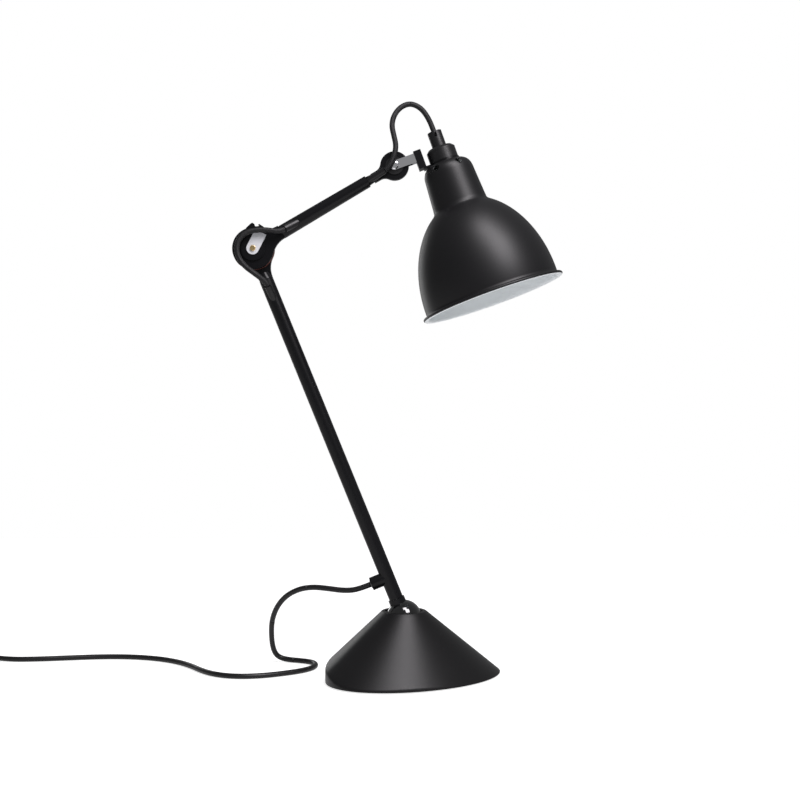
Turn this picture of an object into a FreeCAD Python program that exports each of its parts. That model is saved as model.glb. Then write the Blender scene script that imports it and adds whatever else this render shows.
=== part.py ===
import FreeCAD, Part
import math
import os
import re

import Sketcher
from FreeCAD import Placement, Rotation, Vector

# Articulated desk lamp: a cast cone base with a ball joint, a long stem, an
# elbow, a short upper arm, a head joint and a bell shade that also swivels.
# Millimetres and degrees. The origin is on the table under the ball, +Z is up,
# +X points to the side the shade reaches to, and -Y faces the viewer.

doc = FreeCAD.newDocument("desk_lamp")

# ---------------------------------------------------------------- the sizes
SIZES = [
    # base
    ("ball_height", 60.0, "ball centre above the table"),
    ("ball_radius", 17.7, "ball of the stem"),
    ("rim_height", 67.0, "top edge of the cone"),
    ("rim_radius", 22.0, "outer radius of the cone's top edge"),
    ("mouth_radius", 19.0, "opening round the ball"),
    ("lip_depth", 4.0, "inward lip that holds the seat ring down"),
    ("cone_long", 105.0, "half length of the ellipse the cone would reach on the table"),
    ("cone_short", 81.0, "half width of that ellipse"),
    ("cone_x", 2.3, "its centre"),
    ("cone_y", 6.5, "its centre"),
    ("foot_long", 96.0, "half length of the base's outline"),
    ("foot_short", 66.0, "half width of the base's outline"),
    ("foot_x", 10.3, "its centre"),
    ("foot_y", 2.0, "its centre"),
    ("foot_turn", 34.0, "turn of the outline's long axis"),
    ("foot_lift", 1.0, "the casting's edge above the table"),
    ("casting_wall", 14.0, "side wall of the casting"),
    ("casting_roof", 9.0, "thickness of its sloping roof, upright"),
    ("hub_radius", 29.0, "hub cast round the ball seat"),
    ("hub_foot", 22.0, "lower end of the hub"),
    ("seat_bore", 23.5, "bore of the hub"),
    ("post_radius", 6.0, "screw post"),
    ("post_long", 60.0, "posts on the long axis, from the outline's centre"),
    ("post_short", 42.0, "posts on the short axis, from the outline's centre"),
    ("tap_depth", 11.0, "depth of the threaded holes in the posts"),
    ("pad_thick", 2.0, "rubber pad"),
    ("cover_thick", 3.0, "bottom cover plate"),
    ("cover_rim", 13.0, "recess for the pad and the cover, inside the outline"),
    ("cover_gap", 0.4, "pad and cover inside it"),
    ("ballast_long", 50.0, "half length of the ballast slab"),
    ("ballast_short", 33.0, "half width of the ballast slab"),
    ("ballast_thick", 15.0, "ballast slab"),
    ("key_hole", 9.0, "hole through ballast and cover to reach the clamp plug"),
    ("base_screw_shank", 2.4, "M5 screw, root radius"),
    ("base_screw_head", 4.4, "its head"),
    ("base_screw_long", 9.0, "its length in the post"),
    # ball seat
    ("fit_gap", 0.1, "running clearance on a radius"),
    ("ball_gap", 0.2, "clearance of the ball in its seats"),
    ("face_gap", 0.1, "clearance between turning flat faces"),
    ("ring_flange", 6.0, "height of the seat ring's flange"),
    ("ring_collar", 2.6, "height of the seat ring's collar in the mouth"),
    ("cup_top", 50.0, "top of the lower cup"),
    ("cup_foot", 38.0, "underside of the lower cup"),
    ("cup_hole", 5.0, "hole in the cup"),
    ("spring_thick", 1.2, "disc spring"),
    ("spring_hole", 12.0, "its hole"),
    ("spring_rise", 2.4, "its cone height"),
    ("plug_foot", 24.0, "underside of the clamp plug"),
    ("plug_key", 6.0, "hole in the clamp plug"),
    # ball joint and stem; along the stem, measured from the ball's centre
    ("stem_lean", 22.2, "lean of the stem to the left"),
    ("stem_length", 398.0, "ball centre to elbow axis"),
    ("collar_start", 15.4, "flat on the ball, where the collar starts"),
    ("collar_height", 5.2, "collar"),
    ("collar_radius", 8.35, "collar"),
    ("collar_gap", 0.3, "stem tube above the collar"),
    ("thread_radius", 4.0, "spigot's thread in the ball"),
    ("thread_depth", 13.0, "its depth below the flat"),
    ("spigot_neck", 5.0, "spigot through the collar"),
    ("spigot_long", 13.5, "spigot in the stem tube"),
    ("groove_depth", 1.1, "groove for the retaining screw"),
    ("groove_width", 3.6, "its width"),
    ("groove_place", 6.4, "its middle above the collar"),
    ("keeper_radius", 1.5, "retaining screw, M3"),
    ("stem_radius", 7.1, "stem tube, outside"),
    ("stem_bore", 5.5, "stem tube, inside"),
    ("boss_place", 43.2, "cord boss above the ball's centre"),
    ("boss_radius", 6.65, "cord boss"),
    ("boss_reach", 17.5, "its face from the stem's axis"),
    ("boss_bore", 4.6, "its bore"),
    ("boss_bore_deep", 8.0, "depth of that bore"),
    ("boss_throat", 4.1, "narrower bore on into the stem tube"),
    ("bush_proud", 0.8, "rubber bush beyond the boss"),
    ("cord_radius", 2.75, "fabric-covered mains cord"),
    ("wire_radius", 2.0, "cable inside the tubes, without its braid"),
    # elbow; along y, measured from the middle plane towards the viewer
    ("disc_radius", 20.75, "elbow discs"),
    ("disc_thick", 5.9, "elbow discs"),
    ("washer_thick", 1.2, "fibre washer between the discs"),
    ("washer_radius", 21.3, "fibre washer, just seen round the discs"),
    ("neck_reach", 33.0, "elbow axis to the start of each tube"),
    ("neck_radius", 6.9, "neck of a fitting"),
    ("stub_long", 4.5, "fitting's stub inside the stem tube"),
    ("bolt_radius", 4.0, "elbow bolt"),
    ("bolt_head", 12.2, "its flat round head"),
    ("bolt_head_thick", 1.6, "its flat round head"),
    ("lock_thick", 1.6, "spring washer"),
    ("lock_radius", 8.5, "spring washer"),
    ("nut_thick", 5.5, "elbow nut"),
    ("nut_across", 14.0, "elbow nut across its corners"),
    ("badge_long", 24.0, "plain aluminium plate"),
    ("badge_wide", 12.5, "plain aluminium plate"),
    ("badge_thick", 1.0, "plain aluminium plate"),
    ("badge_turn", 27.0, "its lean to the right"),
    ("badge_screw", 3.0, "screw in the plate, head"),
    ("badge_screw_shank", 1.5, "its shank"),
    ("badge_screw_long", 5.0, "its length in the bolt"),
    ("clip_width", 5.0, "cable clip, along the elbow's axis"),
    # upper arm; along the arm, measured from the elbow axis
    ("arm_rise", 30.6, "upper arm above level"),
    ("arm_length", 163.7, "elbow axis to head axis"),
    ("arm_start_radius", 6.95, "upper tube at the elbow"),
    ("arm_end_radius", 6.15, "upper tube at the head"),
    ("arm_bore", 4.7, "upper tube, inside"),
    ("arm_stub", 5.0, "fitting's stub inside the upper tube"),
    ("ferrule_radius", 3.7, "ferrule on the cable"),
    ("ferrule_out", 7.0, "ferrule outside its tube"),
    ("ferrule_in", 10.0, "ferrule inside its tube"),
    ("ferrule_dip", 24.0, "slope of the ferrules into their tubes"),
    ("ferrule_place", 43.5, "where the arm's ferrule meets the tube, from the elbow axis"),
    ("stem_ferrule_place", 47.2, "where the stem's ferrule meets the tube"),
    ("cable_radius", 2.7, "fabric-covered cable at the joints"),
    # head joint
    ("head_disc", 14.4, "disc at the end of the upper arm"),
    ("head_disc_thick", 6.0, "disc at the end of the upper arm"),
    ("head_neck", 31.3, "head axis to the end of the upper tube"),
    ("head_neck_radius", 4.9, "neck of the head fitting"),
    ("head_flare", 19.0, "where that neck starts to widen, from the head axis"),
    ("head_stub", 14.0, "fitting's stub inside the upper tube"),
    ("sleeve_radius", 3.45, "sleeve round the cable"),
    ("sleeve_long", 20.0, "sleeve round the cable"),
    ("sleeve_slope", 14.0, "slope of the sleeve out of the tube towards the viewer"),
    ("head_washer", 1.0, "fibre washers of the head joint"),
    ("head_washer_radius", 13.6, "fibre washer behind the head disc"),
    ("front_washer_radius", 9.0, "fibre washer in front of it"),
    ("strap_thick", 1.4, "chromed strap"),
    ("strap_width", 9.0, "chromed strap"),
    ("strap_reach", 20.5, "head axis to the strap's web"),
    ("strap_rise", 20.0, "strap above level"),
    ("pivot_radius", 2.5, "pivot screw of the head"),
    ("pivot_head", 4.2, "its head"),
    ("pivot_head_thick", 1.6, "its head"),
    ("pivot_nut_thick", 3.5, "its nut"),
    ("pivot_nut_across", 9.0, "its nut across corners"),
    ("swivel_radius", 2.5, "swivel screw through the web"),
    ("swivel_head", 3.6, "its head"),
    ("swivel_head_thick", 2.0, "its head"),
    ("swivel_long", 8.0, "its length in the block"),
    ("block_long", 7.6, "block of the shade bracket, along the strap"),
    ("block_high", 19.0, "block of the shade bracket, across the strap"),
    ("block_deep", 13.0, "block of the shade bracket, front to back"),
    ("block_drop", 3.4, "its middle below the strap's line"),
    ("block_screw", 1.8, "small screw in the block"),
    # shade; along its axis, measured up from the mouth
    ("shade_x", 89.1, "centre of the shade's mouth"),
    ("shade_z", 378.0, "centre of the shade's mouth"),
    ("shade_lean", 19.3, "lean of the shade's axis to the left"),
    ("shade_roll", 3.4, "turn of the shade towards the viewer"),
    ("shade_wall", 0.8, "shade's sheet"),
    ("shade_radius", 68.6, "widest radius of the bell"),
    ("bell_start", 8.0, "height of that radius"),
    ("bell_height", 97.6, "half height of the bell's ellipse"),
    ("bead_radius", 73.0, "rolled rim, outside"),
    ("bead_round", 1.6, "radius of the rolled rim"),
    ("bell_split", 52.0, "where the bell's two bands meet"),
    ("throat_start", 97.0, "where the bell meets the throat"),
    ("throat_radius", 27.7, "throat at the bell"),
    ("throat_top", 133.0, "top of the throat"),
    ("throat_top_radius", 25.4, "throat at its top"),
    ("shoulder_height", 145.0, "flat top of the shade"),
    ("shoulder_flat", 15.5, "radius of that flat"),
    ("shade_hole", 10.2, "hole in the shade's top"),
    ("vent_radius", 3.15, "vent holes"),
    ("vent_height", 140.0, "vent holes"),
    ("vent_count", 6, "vent holes"),
    ("ring_thick", 2.0, "bracket ring on top of the shade"),
    ("ring_radius", 15.4, "bracket ring on top of the shade"),
    ("cap_radius", 14.7, "socket cap"),
    ("cap_height", 14.0, "socket cap"),
    ("cap_wall", 2.0, "socket cap"),
    ("cap_round", 2.5, "its top edge"),
    ("grip_radius", 7.25, "cord grip"),
    ("grip_height", 17.0, "cord grip"),
    ("grip_slot", 2.6, "slots in the cord grip's top"),
    ("grip_slot_deep", 6.0, "slots in the cord grip's top"),
    ("holder_radius", 12.4, "lampholder"),
    ("holder_long", 34.0, "lampholder below the shade's top"),
    ("holder_thread", 10.0, "lampholder's thread through the shade's top"),
    ("holder_bore", 7.6, "lampholder's socket"),
    ("holder_floor", 9.0, "depth of its socket's floor below the shade's top"),
    ("holder_ring", 14.8, "ring nut"),
    ("holder_ring_thick", 5.0, "ring nut"),
    ("contact_width", 4.0, "centre contact"),
    ("contact_thick", 0.6, "centre contact"),
    ("contact_rise", 3.6, "centre contact"),
    ("base_cap_radius", 7.0, "bulb's screw cap"),
    ("base_cap_long", 24.0, "bulb's screw cap"),
    ("bulb_radius", 22.5, "bulb's globe"),
    ("bulb_reach", 55.0, "bulb's globe centre below its cap's end"),
    # mains cord, its coil and plug
    ("cord_length", 1800.0, "from the bush to the plug"),
    ("lead_height", 2.75, "middle of the cord when it lies on the table"),
    ("coil_mean", 31.0, "middle radius of the put-away coil"),
    ("coil_width", 16.5, "width of the coil's band"),
    ("coil_height", 12.4, "height of the coil"),
    ("tie_thick", 1.0, "tie round the coil"),
    ("tie_width", 7.0, "tie round the coil"),
    ("plug_radius", 12.5, "plug body, half width"),
    ("plug_long", 34.0, "plug body"),
    ("plug_thick", 13.8, "plug body"),
    ("plug_round", 5.0, "its long edges"),
    ("pin_radius", 2.0, "plug pins"),
    ("pin_long", 19.0, "plug pins"),
    ("pin_spacing", 17.5, "plug pins"),
    ("relief_long", 22.0, "plug's strain relief"),
    ("relief_radius", 4.4, "its wide end"),
]

sheet = doc.addObject("Spreadsheet::Sheet", "Sizes")
for row, (alias, number, note) in enumerate(SIZES, start=1):
    sheet.set("A%d" % row, note)
    sheet.set("B%d" % row, str(number))
    sheet.setAlias("B%d" % row, alias)
doc.recompute()

ALIASES = re.compile(r"\b(" + "|".join(alias for alias, _, _ in SIZES) + r")\b")


def bound(text):
    """An expression in size names, written for an object outside the sheet."""
    return ALIASES.sub(r"Sizes.\1", text)


def size(text):
    """The value of an expression in size names."""
    return float(sheet.evalExpression(text))


# ------------------------------------------------------------- the frames
X, Y, Z = Vector(1, 0, 0), Vector(0, 1, 0), Vector(0, 0, 1)
ball_centre = Vector(0, 0, size("ball_height"))
along_stem = Rotation(Y, -size("stem_lean"))
stem_frame = Placement(ball_centre, along_stem)
elbow = stem_frame.multVec(Vector(0, 0, size("stem_length")))
along_arm = Rotation(Y, 90 - size("arm_rise"))
arm_frame = Placement(elbow, along_arm)
head = arm_frame.multVec(Vector(0, 0, size("arm_length")))
# z of a pivot frame points at the viewer, and its y points up
elbow_pivot = Placement(elbow, Rotation(X, 90))
head_middle = head + Vector(0, size("head_disc_thick / 2"), 0)
head_pivot = Placement(head_middle, Rotation(X, 90))
along_strap = Rotation(Y, 90 - size("strap_rise"))
strap_frame = Placement(head_middle, along_strap)
roll = Placement(Vector(), Rotation(along_strap.multVec(Z), -size("shade_roll")), head_middle)
shade_frame = roll.multiply(Placement(Vector(size("shade_x"), head_middle.y, size("shade_z")),
                                      Rotation(Y, -size("shade_lean"))))
block_frame = roll.multiply(strap_frame)
world = Placement()

parts = {}


def keep(node, obj, frame):
    """Name the finished piece and put it in its frame."""
    obj.Label = node
    obj.Placement = frame
    parts[node] = obj
    return obj


# ------------------------------------------------------- ways of making
def turned(node, profile, frame):
    """A turned piece: a closed outline of (radius, height) expressions about z."""
    body = doc.addObject("PartDesign::Body", node)
    plane = [o for o in body.Origin.OriginFeatures if o.Role == "XZ_Plane"][0]
    sketch = body.newObject("Sketcher::SketchObject", node + "_outline")
    sketch.AttachmentSupport = [(plane, "")]
    sketch.MapMode = "FlatFace"
    corners = [Vector(size(r), size(z), 0) for r, z in profile]
    count = len(corners)
    for k in range(count):
        sketch.addGeometry(Part.LineSegment(corners[k], corners[(k + 1) % count]), False)
    for k in range(count):
        sketch.addConstraint(Sketcher.Constraint("Coincident", k, 2, (k + 1) % count, 1))
    for k, (r, z) in enumerate(profile):
        for kind, text, number, axis in (("DistanceX", r, corners[k].x, -2),
                                         ("DistanceY", z, corners[k].y, -1)):
            if text == "0":
                sketch.addConstraint(Sketcher.Constraint("PointOnObject", k, 1, axis))
            else:
                index = sketch.addConstraint(Sketcher.Constraint(kind, -1, 1, k, 1, number))
                sketch.setExpression("Constraints[%d]" % index, bound(text))
    turn = body.newObject("PartDesign::Revolution", node + "_turn")
    turn.Profile = sketch
    turn.ReferenceAxis = (sketch, ["V_Axis"])
    turn.Angle = 360
    sketch.Visibility = False
    return keep(node, body, frame)


def primitive(kind, name, spot=Placement(), **sizes):
    """A Part primitive whose properties are bound to the sizes."""
    obj = doc.addObject("Part::" + kind, name)
    for prop, text in sizes.items():
        obj.setExpression(prop, bound(text))
    obj.Placement = spot
    return obj


def cylinder(name, radius, height, base=Vector(), direction=Z):
    """A cylinder from its base along a direction."""
    return primitive("Cylinder", name, Placement(base, Rotation(Z, direction)),
                     Radius=radius, Height=height)


def cut(name, body, *tools):
    """The body with each tool taken away in turn."""
    for k, tool in enumerate(tools):
        result = doc.addObject("Part::Cut", "%s_cut%d" % (name, k))
        result.Base, result.Tool = body, tool
        body = result
    return body


def fuse(name, *solids):
    """Several solids made one."""
    result = doc.addObject("Part::MultiFuse", name + "_fuse")
    result.Shapes = list(solids)
    result.Refine = True
    return result


def shaped(node, shape, frame):
    """A piece whose shape is worked out here from the sizes."""
    obj = doc.addObject("Part::Feature", node)
    obj.Shape = shape
    return keep(node, obj, frame)


def tube_along(points, radius):
    """A round cord: straight runs between the points, joined by tangent arcs."""
    points = [Vector(*p) for p in points]
    edges, start, tightest = [], points[0], None
    for before, corner, after in zip(points, points[1:], points[2:]):
        into, out = (corner - before), (after - corner)
        turn = into.getAngle(out)
        bend = 0.45 * min(into.Length, out.Length) / math.tan(turn / 2)
        reach = bend * math.tan(turn / 2)
        into.normalize()
        out.normalize()
        first, last = corner - into * reach, corner + out * reach
        bulge = (out - into).normalize()
        middle = corner + bulge * (bend / math.cos(turn / 2) - bend)
        edges.append(Part.LineSegment(start, first).toShape())
        edges.append(Part.Arc(first, middle, last).toShape())
        start = last
        tightest = bend if tightest is None else min(tightest, bend)
    edges.append(Part.LineSegment(start, points[-1]).toShape())
    path = Part.Wire(edges)
    heading = points[1] - points[0]
    ring = Part.Wire(Part.makeCircle(radius, points[0], heading))
    solid = path.makePipeShell([ring], True, True)
    return solid, path.Length, tightest


def cord(node, points, radius, frame):
    """A length of cord, with its length, volume and tightest bend printed."""
    solid, length, tightest = tube_along(points, radius)
    section = math.pi * radius * radius
    print("%s: %.1f mm long, volume %.4f of section x length, tightest bend %.1f"
          % (node, length, solid.Volume / (section * length), tightest or 0))
    return shaped(node, solid, frame), length


# =================================================================== base
def foot_wire(long_half, short_half, centre_x, centre_y, height):
    """An ellipse in plan, turned with the foot."""
    curve = Part.Ellipse(Vector(0, 0, 0), long_half, short_half)
    wire = Part.Wire(curve.toShape())
    wire.Placement = Placement(Vector(centre_x, centre_y, height), Rotation(Z, size("foot_turn")))
    return wire


def outline_prism(inset, low, high):
    """The base's outline drawn in by an inset, as an upright prism."""
    wire = foot_wire(size("foot_long") - inset, size("foot_short") - inset,
                     size("foot_x"), size("foot_y"), low)
    return Part.Face(wire).extrude(Vector(0, 0, high - low))


def cone_solid(drop):
    """Ruled cone from the round rim to the ellipse on the table, lowered by drop."""
    ring = Part.Wire(Part.Circle(Vector(0, 0, 0), Z, size("rim_radius")).toShape())
    ring.Placement = Placement(Vector(0, 0, size("rim_height") - drop),
                               Rotation(Z, size("foot_turn")))
    foot = foot_wire(size("cone_long"), size("cone_short"), size("cone_x"), size("cone_y"), -drop)
    return Part.makeLoft([ring, foot], True, True)


def post_places():
    """The four screw posts, on the axes of the foot's outline."""
    turn = Rotation(Z, size("foot_turn"))
    centre = Vector(size("foot_x"), size("foot_y"), 0)
    reach = [(size("post_long"), 0), (-size("post_long"), 0),
             (0, size("post_short")), (0, -size("post_short"))]
    return [centre + turn.multVec(Vector(a, b, 0)) for a, b in reach]


def column(radius, low, high, place=Vector()):
    """An upright cylinder between two heights."""
    return Part.makeCylinder(radius, high - low, Vector(place.x, place.y, low))


rim_height = size("rim_height")
foot_lift = size("foot_lift")
cover_low = size("pad_thick")
cover_high = size("pad_thick + cover_thick")
casting = cone_solid(0).common(outline_prism(0, foot_lift, rim_height + 1))
cavity = cone_solid(size("casting_roof")).common(
    outline_prism(size("casting_wall"), foot_lift - 1, rim_height))
hub = column(size("hub_radius"), size("hub_foot"), rim_height)
posts = [column(size("post_radius"), cover_high, rim_height, p) for p in post_places()]
cavity = cavity.cut(Part.makeCompound([hub] + posts))
casting = casting.cut(cavity)
casting = casting.cut(outline_prism(size("cover_rim"), foot_lift - 1, cover_high))
casting = casting.cut(column(size("mouth_radius"), size("hub_foot") - 1, rim_height + 1))
casting = casting.cut(column(size("seat_bore"), size("hub_foot") - 1, size("rim_height - lip_depth")))
for place in post_places():
    casting = casting.cut(column(size("base_screw_shank"), cover_high - 1,
                                 size("pad_thick + cover_thick + tap_depth"), place))
shaped("base_casting", casting, world)

inset = size("cover_rim + cover_gap")
cover = outline_prism(inset, cover_low, cover_high)
cover = cover.cut(column(size("key_hole"), 0, cover_high + 1))
for place in post_places():
    cover = cover.cut(column(size("base_screw_shank + fit_gap"), 0, cover_high + 1, place))
    cover = cover.cut(column(size("base_screw_head + fit_gap"), 0, size("pad_thick + cover_thick / 2"), place))
shaped("bottom_cover", cover, world)
shaped("rubber_pad", outline_prism(inset, 0, cover_low), world)

slab = Part.Face(foot_wire(size("ballast_long"), size("ballast_short"),
                           size("foot_x"), size("foot_y"), cover_high))
slab = slab.extrude(Vector(0, 0, size("ballast_thick")))
slab = slab.cut(column(size("key_hole"), 0, rim_height))
shaped("ballast_slab", slab, world)

screws = []
for place in post_places():
    seat = size("pad_thick + cover_thick / 2")
    screw = column(size("base_screw_head"), cover_low, seat, place)
    screw = screw.fuse(column(size("base_screw_shank"), seat, cover_high + size("base_screw_long"), place))
    screws.append(screw.removeSplitter())
shaped("cover_screws", Part.makeCompound(screws), world)

# the ball is held between a ring under the casting's lip and a sprung cup
ring_top = "(rim_height - lip_depth - face_gap)"
seat_radius = "(ball_radius + ball_gap)"
lowest, top = size(ring_top + " - ring_flange"), size(ring_top + " + ring_collar")
ring = cylinder("ring_flange_disc", "seat_bore - fit_gap", "ring_flange", Vector(0, 0, lowest))
collar = cylinder("ring_collar_disc", "mouth_radius - fit_gap", "ring_flange + ring_collar",
                  Vector(0, 0, lowest))
hollow = primitive("Sphere", "ring_ball_space", Placement(ball_centre, Rotation()), Radius=seat_radius)
below = cylinder("ring_way_in", seat_radius, "ball_height",
                 Vector(0, 0, size("ball_height")), -Z)
keep("seat_ring", cut("seat_ring", fuse("seat_ring", ring, collar), hollow, below), world)

cup = cylinder("cup_disc", "seat_bore - fit_gap", "cup_top - cup_foot", Vector(0, 0, size("cup_foot")))
cup_space = primitive("Sphere", "cup_ball_space", Placement(ball_centre, Rotation()), Radius=seat_radius)
cup_bore = cylinder("cup_bore", "cup_hole", "cup_top", Vector())
keep("lower_cup", cut("lower_cup", cup, cup_space, cup_bore), world)

plug_top = "(cup_foot - spring_rise - spring_thick)"
turned("disc_spring", [("spring_hole", "cup_foot - spring_thick"), ("spring_hole", "cup_foot"),
                       ("seat_bore - 3 * fit_gap", "cup_foot - spring_rise"),
                       ("seat_bore - 3 * fit_gap", plug_top)], world)
turned("clamp_plug", [("plug_key", "plug_foot"), ("seat_bore - fit_gap", "plug_foot"),
                      ("seat_bore - fit_gap", plug_top), ("plug_key", plug_top)], world)

# =================================================================== ball
sphere = primitive("Sphere", "ball_sphere", Radius="ball_radius")
flat = cylinder("ball_flat", "ball_radius", "ball_radius", Vector(0, 0, size("collar_start")))
tapped = cylinder("ball_tap", "thread_radius", "ball_radius + thread_depth",
                  Vector(0, 0, size("collar_start - thread_depth")))
keep("ball", cut("ball", sphere, flat, tapped), stem_frame)

collar_top = "(collar_start + collar_height)"
groove_low = "(%s + groove_place - groove_width / 2)" % collar_top
groove_high = "(%s + groove_place + groove_width / 2)" % collar_top
spigot_radius = "(stem_bore - fit_gap)"
turned("ball_spigot", [("0", "collar_start - thread_depth"), ("thread_radius", "collar_start - thread_depth"),
                       ("thread_radius", "collar_start"), ("spigot_neck", "collar_start"),
                       ("spigot_neck", collar_top), (spigot_radius, collar_top),
                       (spigot_radius, groove_low), (spigot_radius + " - groove_depth", groove_low),
                       (spigot_radius + " - groove_depth", groove_high), (spigot_radius, groove_high),
                       (spigot_radius, collar_top + " + spigot_long"),
                       ("0", collar_top + " + spigot_long")], stem_frame)
turned("ball_collar", [("spigot_neck", "collar_start"), ("collar_radius", "collar_start"),
                       ("collar_radius", collar_top), ("spigot_neck", collar_top)], stem_frame)

# =================================================================== stem
tube_low = size(collar_top + " + collar_gap")
tube_high = size("stem_length - neck_reach")
keeper_at = size(collar_top + " + groove_place")


def ferrule_axis(sign):
    """Direction of a ferrule as it goes into its tube, sloping back from the viewer."""
    dip = math.radians(size("ferrule_dip"))
    return Vector(0, math.sin(dip), sign * math.cos(dip))


outer = cylinder("stem_outer", "stem_radius", "stem_length - neck_reach - %s - collar_gap" % collar_top,
                 Vector(0, 0, tube_low))
bore = cylinder("stem_hole", "stem_bore", "stem_length", Vector())
cord_hole = cylinder("stem_cord_hole", "boss_throat", "stem_radius + 1",
                     Vector(0, 0, size("boss_place")), -X)
keeper_hole = cylinder("stem_keeper_hole", "keeper_radius", "stem_radius + 1", Vector(0, 0, keeper_at), Y)
stem_entry = Vector(0, -size("stem_radius"), size("stem_length - stem_ferrule_place"))
stem_mouth = stem_entry - ferrule_axis(-1) * size("ferrule_out")
entry_hole = cylinder("stem_entry_hole", "ferrule_radius + fit_gap", "ferrule_out + ferrule_in + 5",
                      stem_mouth, ferrule_axis(-1))
keep("stem_tube", cut("stem_tube", outer, bore, cord_hole, keeper_hole, entry_hole), stem_frame)

keeper = cylinder("keeper_pin", "keeper_radius - fit_gap / 2",
                  "stem_radius - stem_bore + groove_depth / 2",
                  Vector(0, size("stem_bore - groove_depth / 2"), keeper_at), Y)
keep("stem_keeper_screw", keeper, stem_frame.multiply(keeper.Placement))

boss = cylinder("boss_round", "boss_radius", "boss_reach", Vector(0, 0, size("boss_place")), -X)
boss_seat = cylinder("boss_seat", "stem_radius", "stem_length", Vector())
boss_hole = cylinder("boss_hole", "boss_throat", "boss_reach", Vector(0, 0, size("boss_place")), -X)
boss_pocket = cylinder("boss_pocket", "boss_bore", "boss_bore_deep",
                       Vector(-size("boss_reach"), 0, size("boss_place")), X)
keep("cord_boss", cut("cord_boss", boss, boss_seat, boss_hole, boss_pocket), stem_frame)

bush_frame = stem_frame.multiply(Placement(Vector(-size("boss_reach"), 0, size("boss_place")),
                                           Rotation(Z, -X)))
turned("cord_bush", [("cord_radius", "0 - boss_bore_deep"), ("boss_bore", "0 - boss_bore_deep"),
                     ("boss_bore", "0"), ("boss_bore - bush_proud", "bush_proud"),
                     ("cord_radius", "bush_proud")], bush_frame)


# ------------------------------------------------- fittings at the joints
def outline_face(disc, half_width, reach, depth, end):
    """A disc with a neck, in the x-z plane: concave flares tangent to both."""
    flare = (half_width ** 2 + reach ** 2 - disc ** 2) / (2 * (disc - half_width))
    centre = Vector(half_width + flare, 0, reach)
    touch = centre * (disc / (disc + flare))
    mid_dir = (touch - centre).normalize() + Vector(-1, 0, 0)
    middle = centre + mid_dir.normalize() * flare
    mirror = lambda p: Vector(-p.x, p.y, p.z)
    edges = [Part.LineSegment(Vector(half_width, 0, end), Vector(half_width, 0, reach)).toShape(),
             Part.Arc(Vector(half_width, 0, reach), middle, touch).toShape(),
             Part.Arc(touch, Vector(0, 0, -disc), mirror(touch)).toShape(),
             Part.Arc(mirror(touch), mirror(middle), Vector(-half_width, 0, reach)).toShape(),
             Part.LineSegment(Vector(-half_width, 0, reach), Vector(-half_width, 0, end)).toShape(),
             Part.LineSegment(Vector(-half_width, 0, end), Vector(half_width, 0, end)).toShape()]
    face = Part.Face(Part.Wire(edges))
    face.translate(Vector(0, depth, 0))
    return face


def fitting(side, disc, thick, inner, half_width, reach, end, stub_radius, stub_end, pivot):
    """Disc on one side of the middle plane, neck to the tube and stub inside it.

    z runs from the joint's axis towards the tube; side is -1 for the viewer's side."""
    low = inner if side > 0 else -inner - thick
    plate = outline_face(disc, half_width, reach, low, (reach + end) / 2)
    plate = plate.extrude(Vector(0, thick, 0))
    neck_start = (disc + reach) / 2
    neck = Part.makeCone(half_width * 0.7, half_width, end - neck_start, Vector(0, 0, neck_start))
    stub = Part.makeCylinder(stub_radius, stub_end - end + 1, Vector(0, 0, end - 1))
    solid = plate.common(Part.makeBox(6 * disc, 2 * thick + 4 * half_width, 2 * (disc + end),
                                      Vector(-3 * disc, -thick - 2 * half_width, -disc - end)))
    solid = solid.fuse([neck, stub])
    hole = Part.makeCylinder(pivot, 4 * thick, Vector(0, -2 * thick, 0), Y)
    return solid.cut(hole).removeSplitter()


bolt_hole = size("bolt_radius + fit_gap")
half_washer = size("washer_thick / 2")
down_stem = Placement(elbow, along_stem.multiply(Rotation(Y, 180)))
rear_fitting = fitting(+1, size("disc_radius"), size("disc_thick"), half_washer,
                       size("neck_radius"), size("neck_reach - 1"), size("neck_reach"),
                       size("stem_bore"), size("neck_reach + stub_long"), bolt_hole)
shaped("stem_top_fitting", rear_fitting, down_stem)
front_fitting = fitting(-1, size("disc_radius"), size("disc_thick"), half_washer,
                        size("neck_radius"), size("neck_reach - 1"), size("neck_reach"),
                        size("arm_bore"), size("neck_reach + arm_stub"), bolt_hole)
shaped("arm_elbow_fitting", front_fitting, arm_frame)

# ============================================================= elbow joint
turned("elbow_washer", [("bolt_radius + fit_gap", "0 - washer_thick / 2"),
                        ("washer_radius", "0 - washer_thick / 2"),
                        ("washer_radius", "washer_thick / 2 - face_gap"),
                        ("bolt_radius + fit_gap", "washer_thick / 2 - face_gap")], elbow_pivot)
disc_face = "(washer_thick / 2 + disc_thick)"
head_face = "(%s + bolt_head_thick)" % disc_face
bolt_end = "(0 - %s - face_gap - lock_thick - nut_thick - 1)" % disc_face
turned("elbow_bolt", [("0", bolt_end), ("bolt_radius", bolt_end), ("bolt_radius", disc_face),
                      ("bolt_head", disc_face), ("bolt_head", head_face),
                      ("badge_screw_shank", head_face),
                      ("badge_screw_shank", head_face + " - badge_screw_long"),
                      ("0", head_face + " - badge_screw_long")], elbow_pivot)
lock_face = "(0 - %s - face_gap)" % disc_face
turned("elbow_spring_washer", [("bolt_radius + fit_gap", lock_face + " - lock_thick"),
                               ("lock_radius", lock_face + " - lock_thick"),
                               ("lock_radius", lock_face), ("bolt_radius + fit_gap", lock_face)],
       elbow_pivot)


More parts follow.
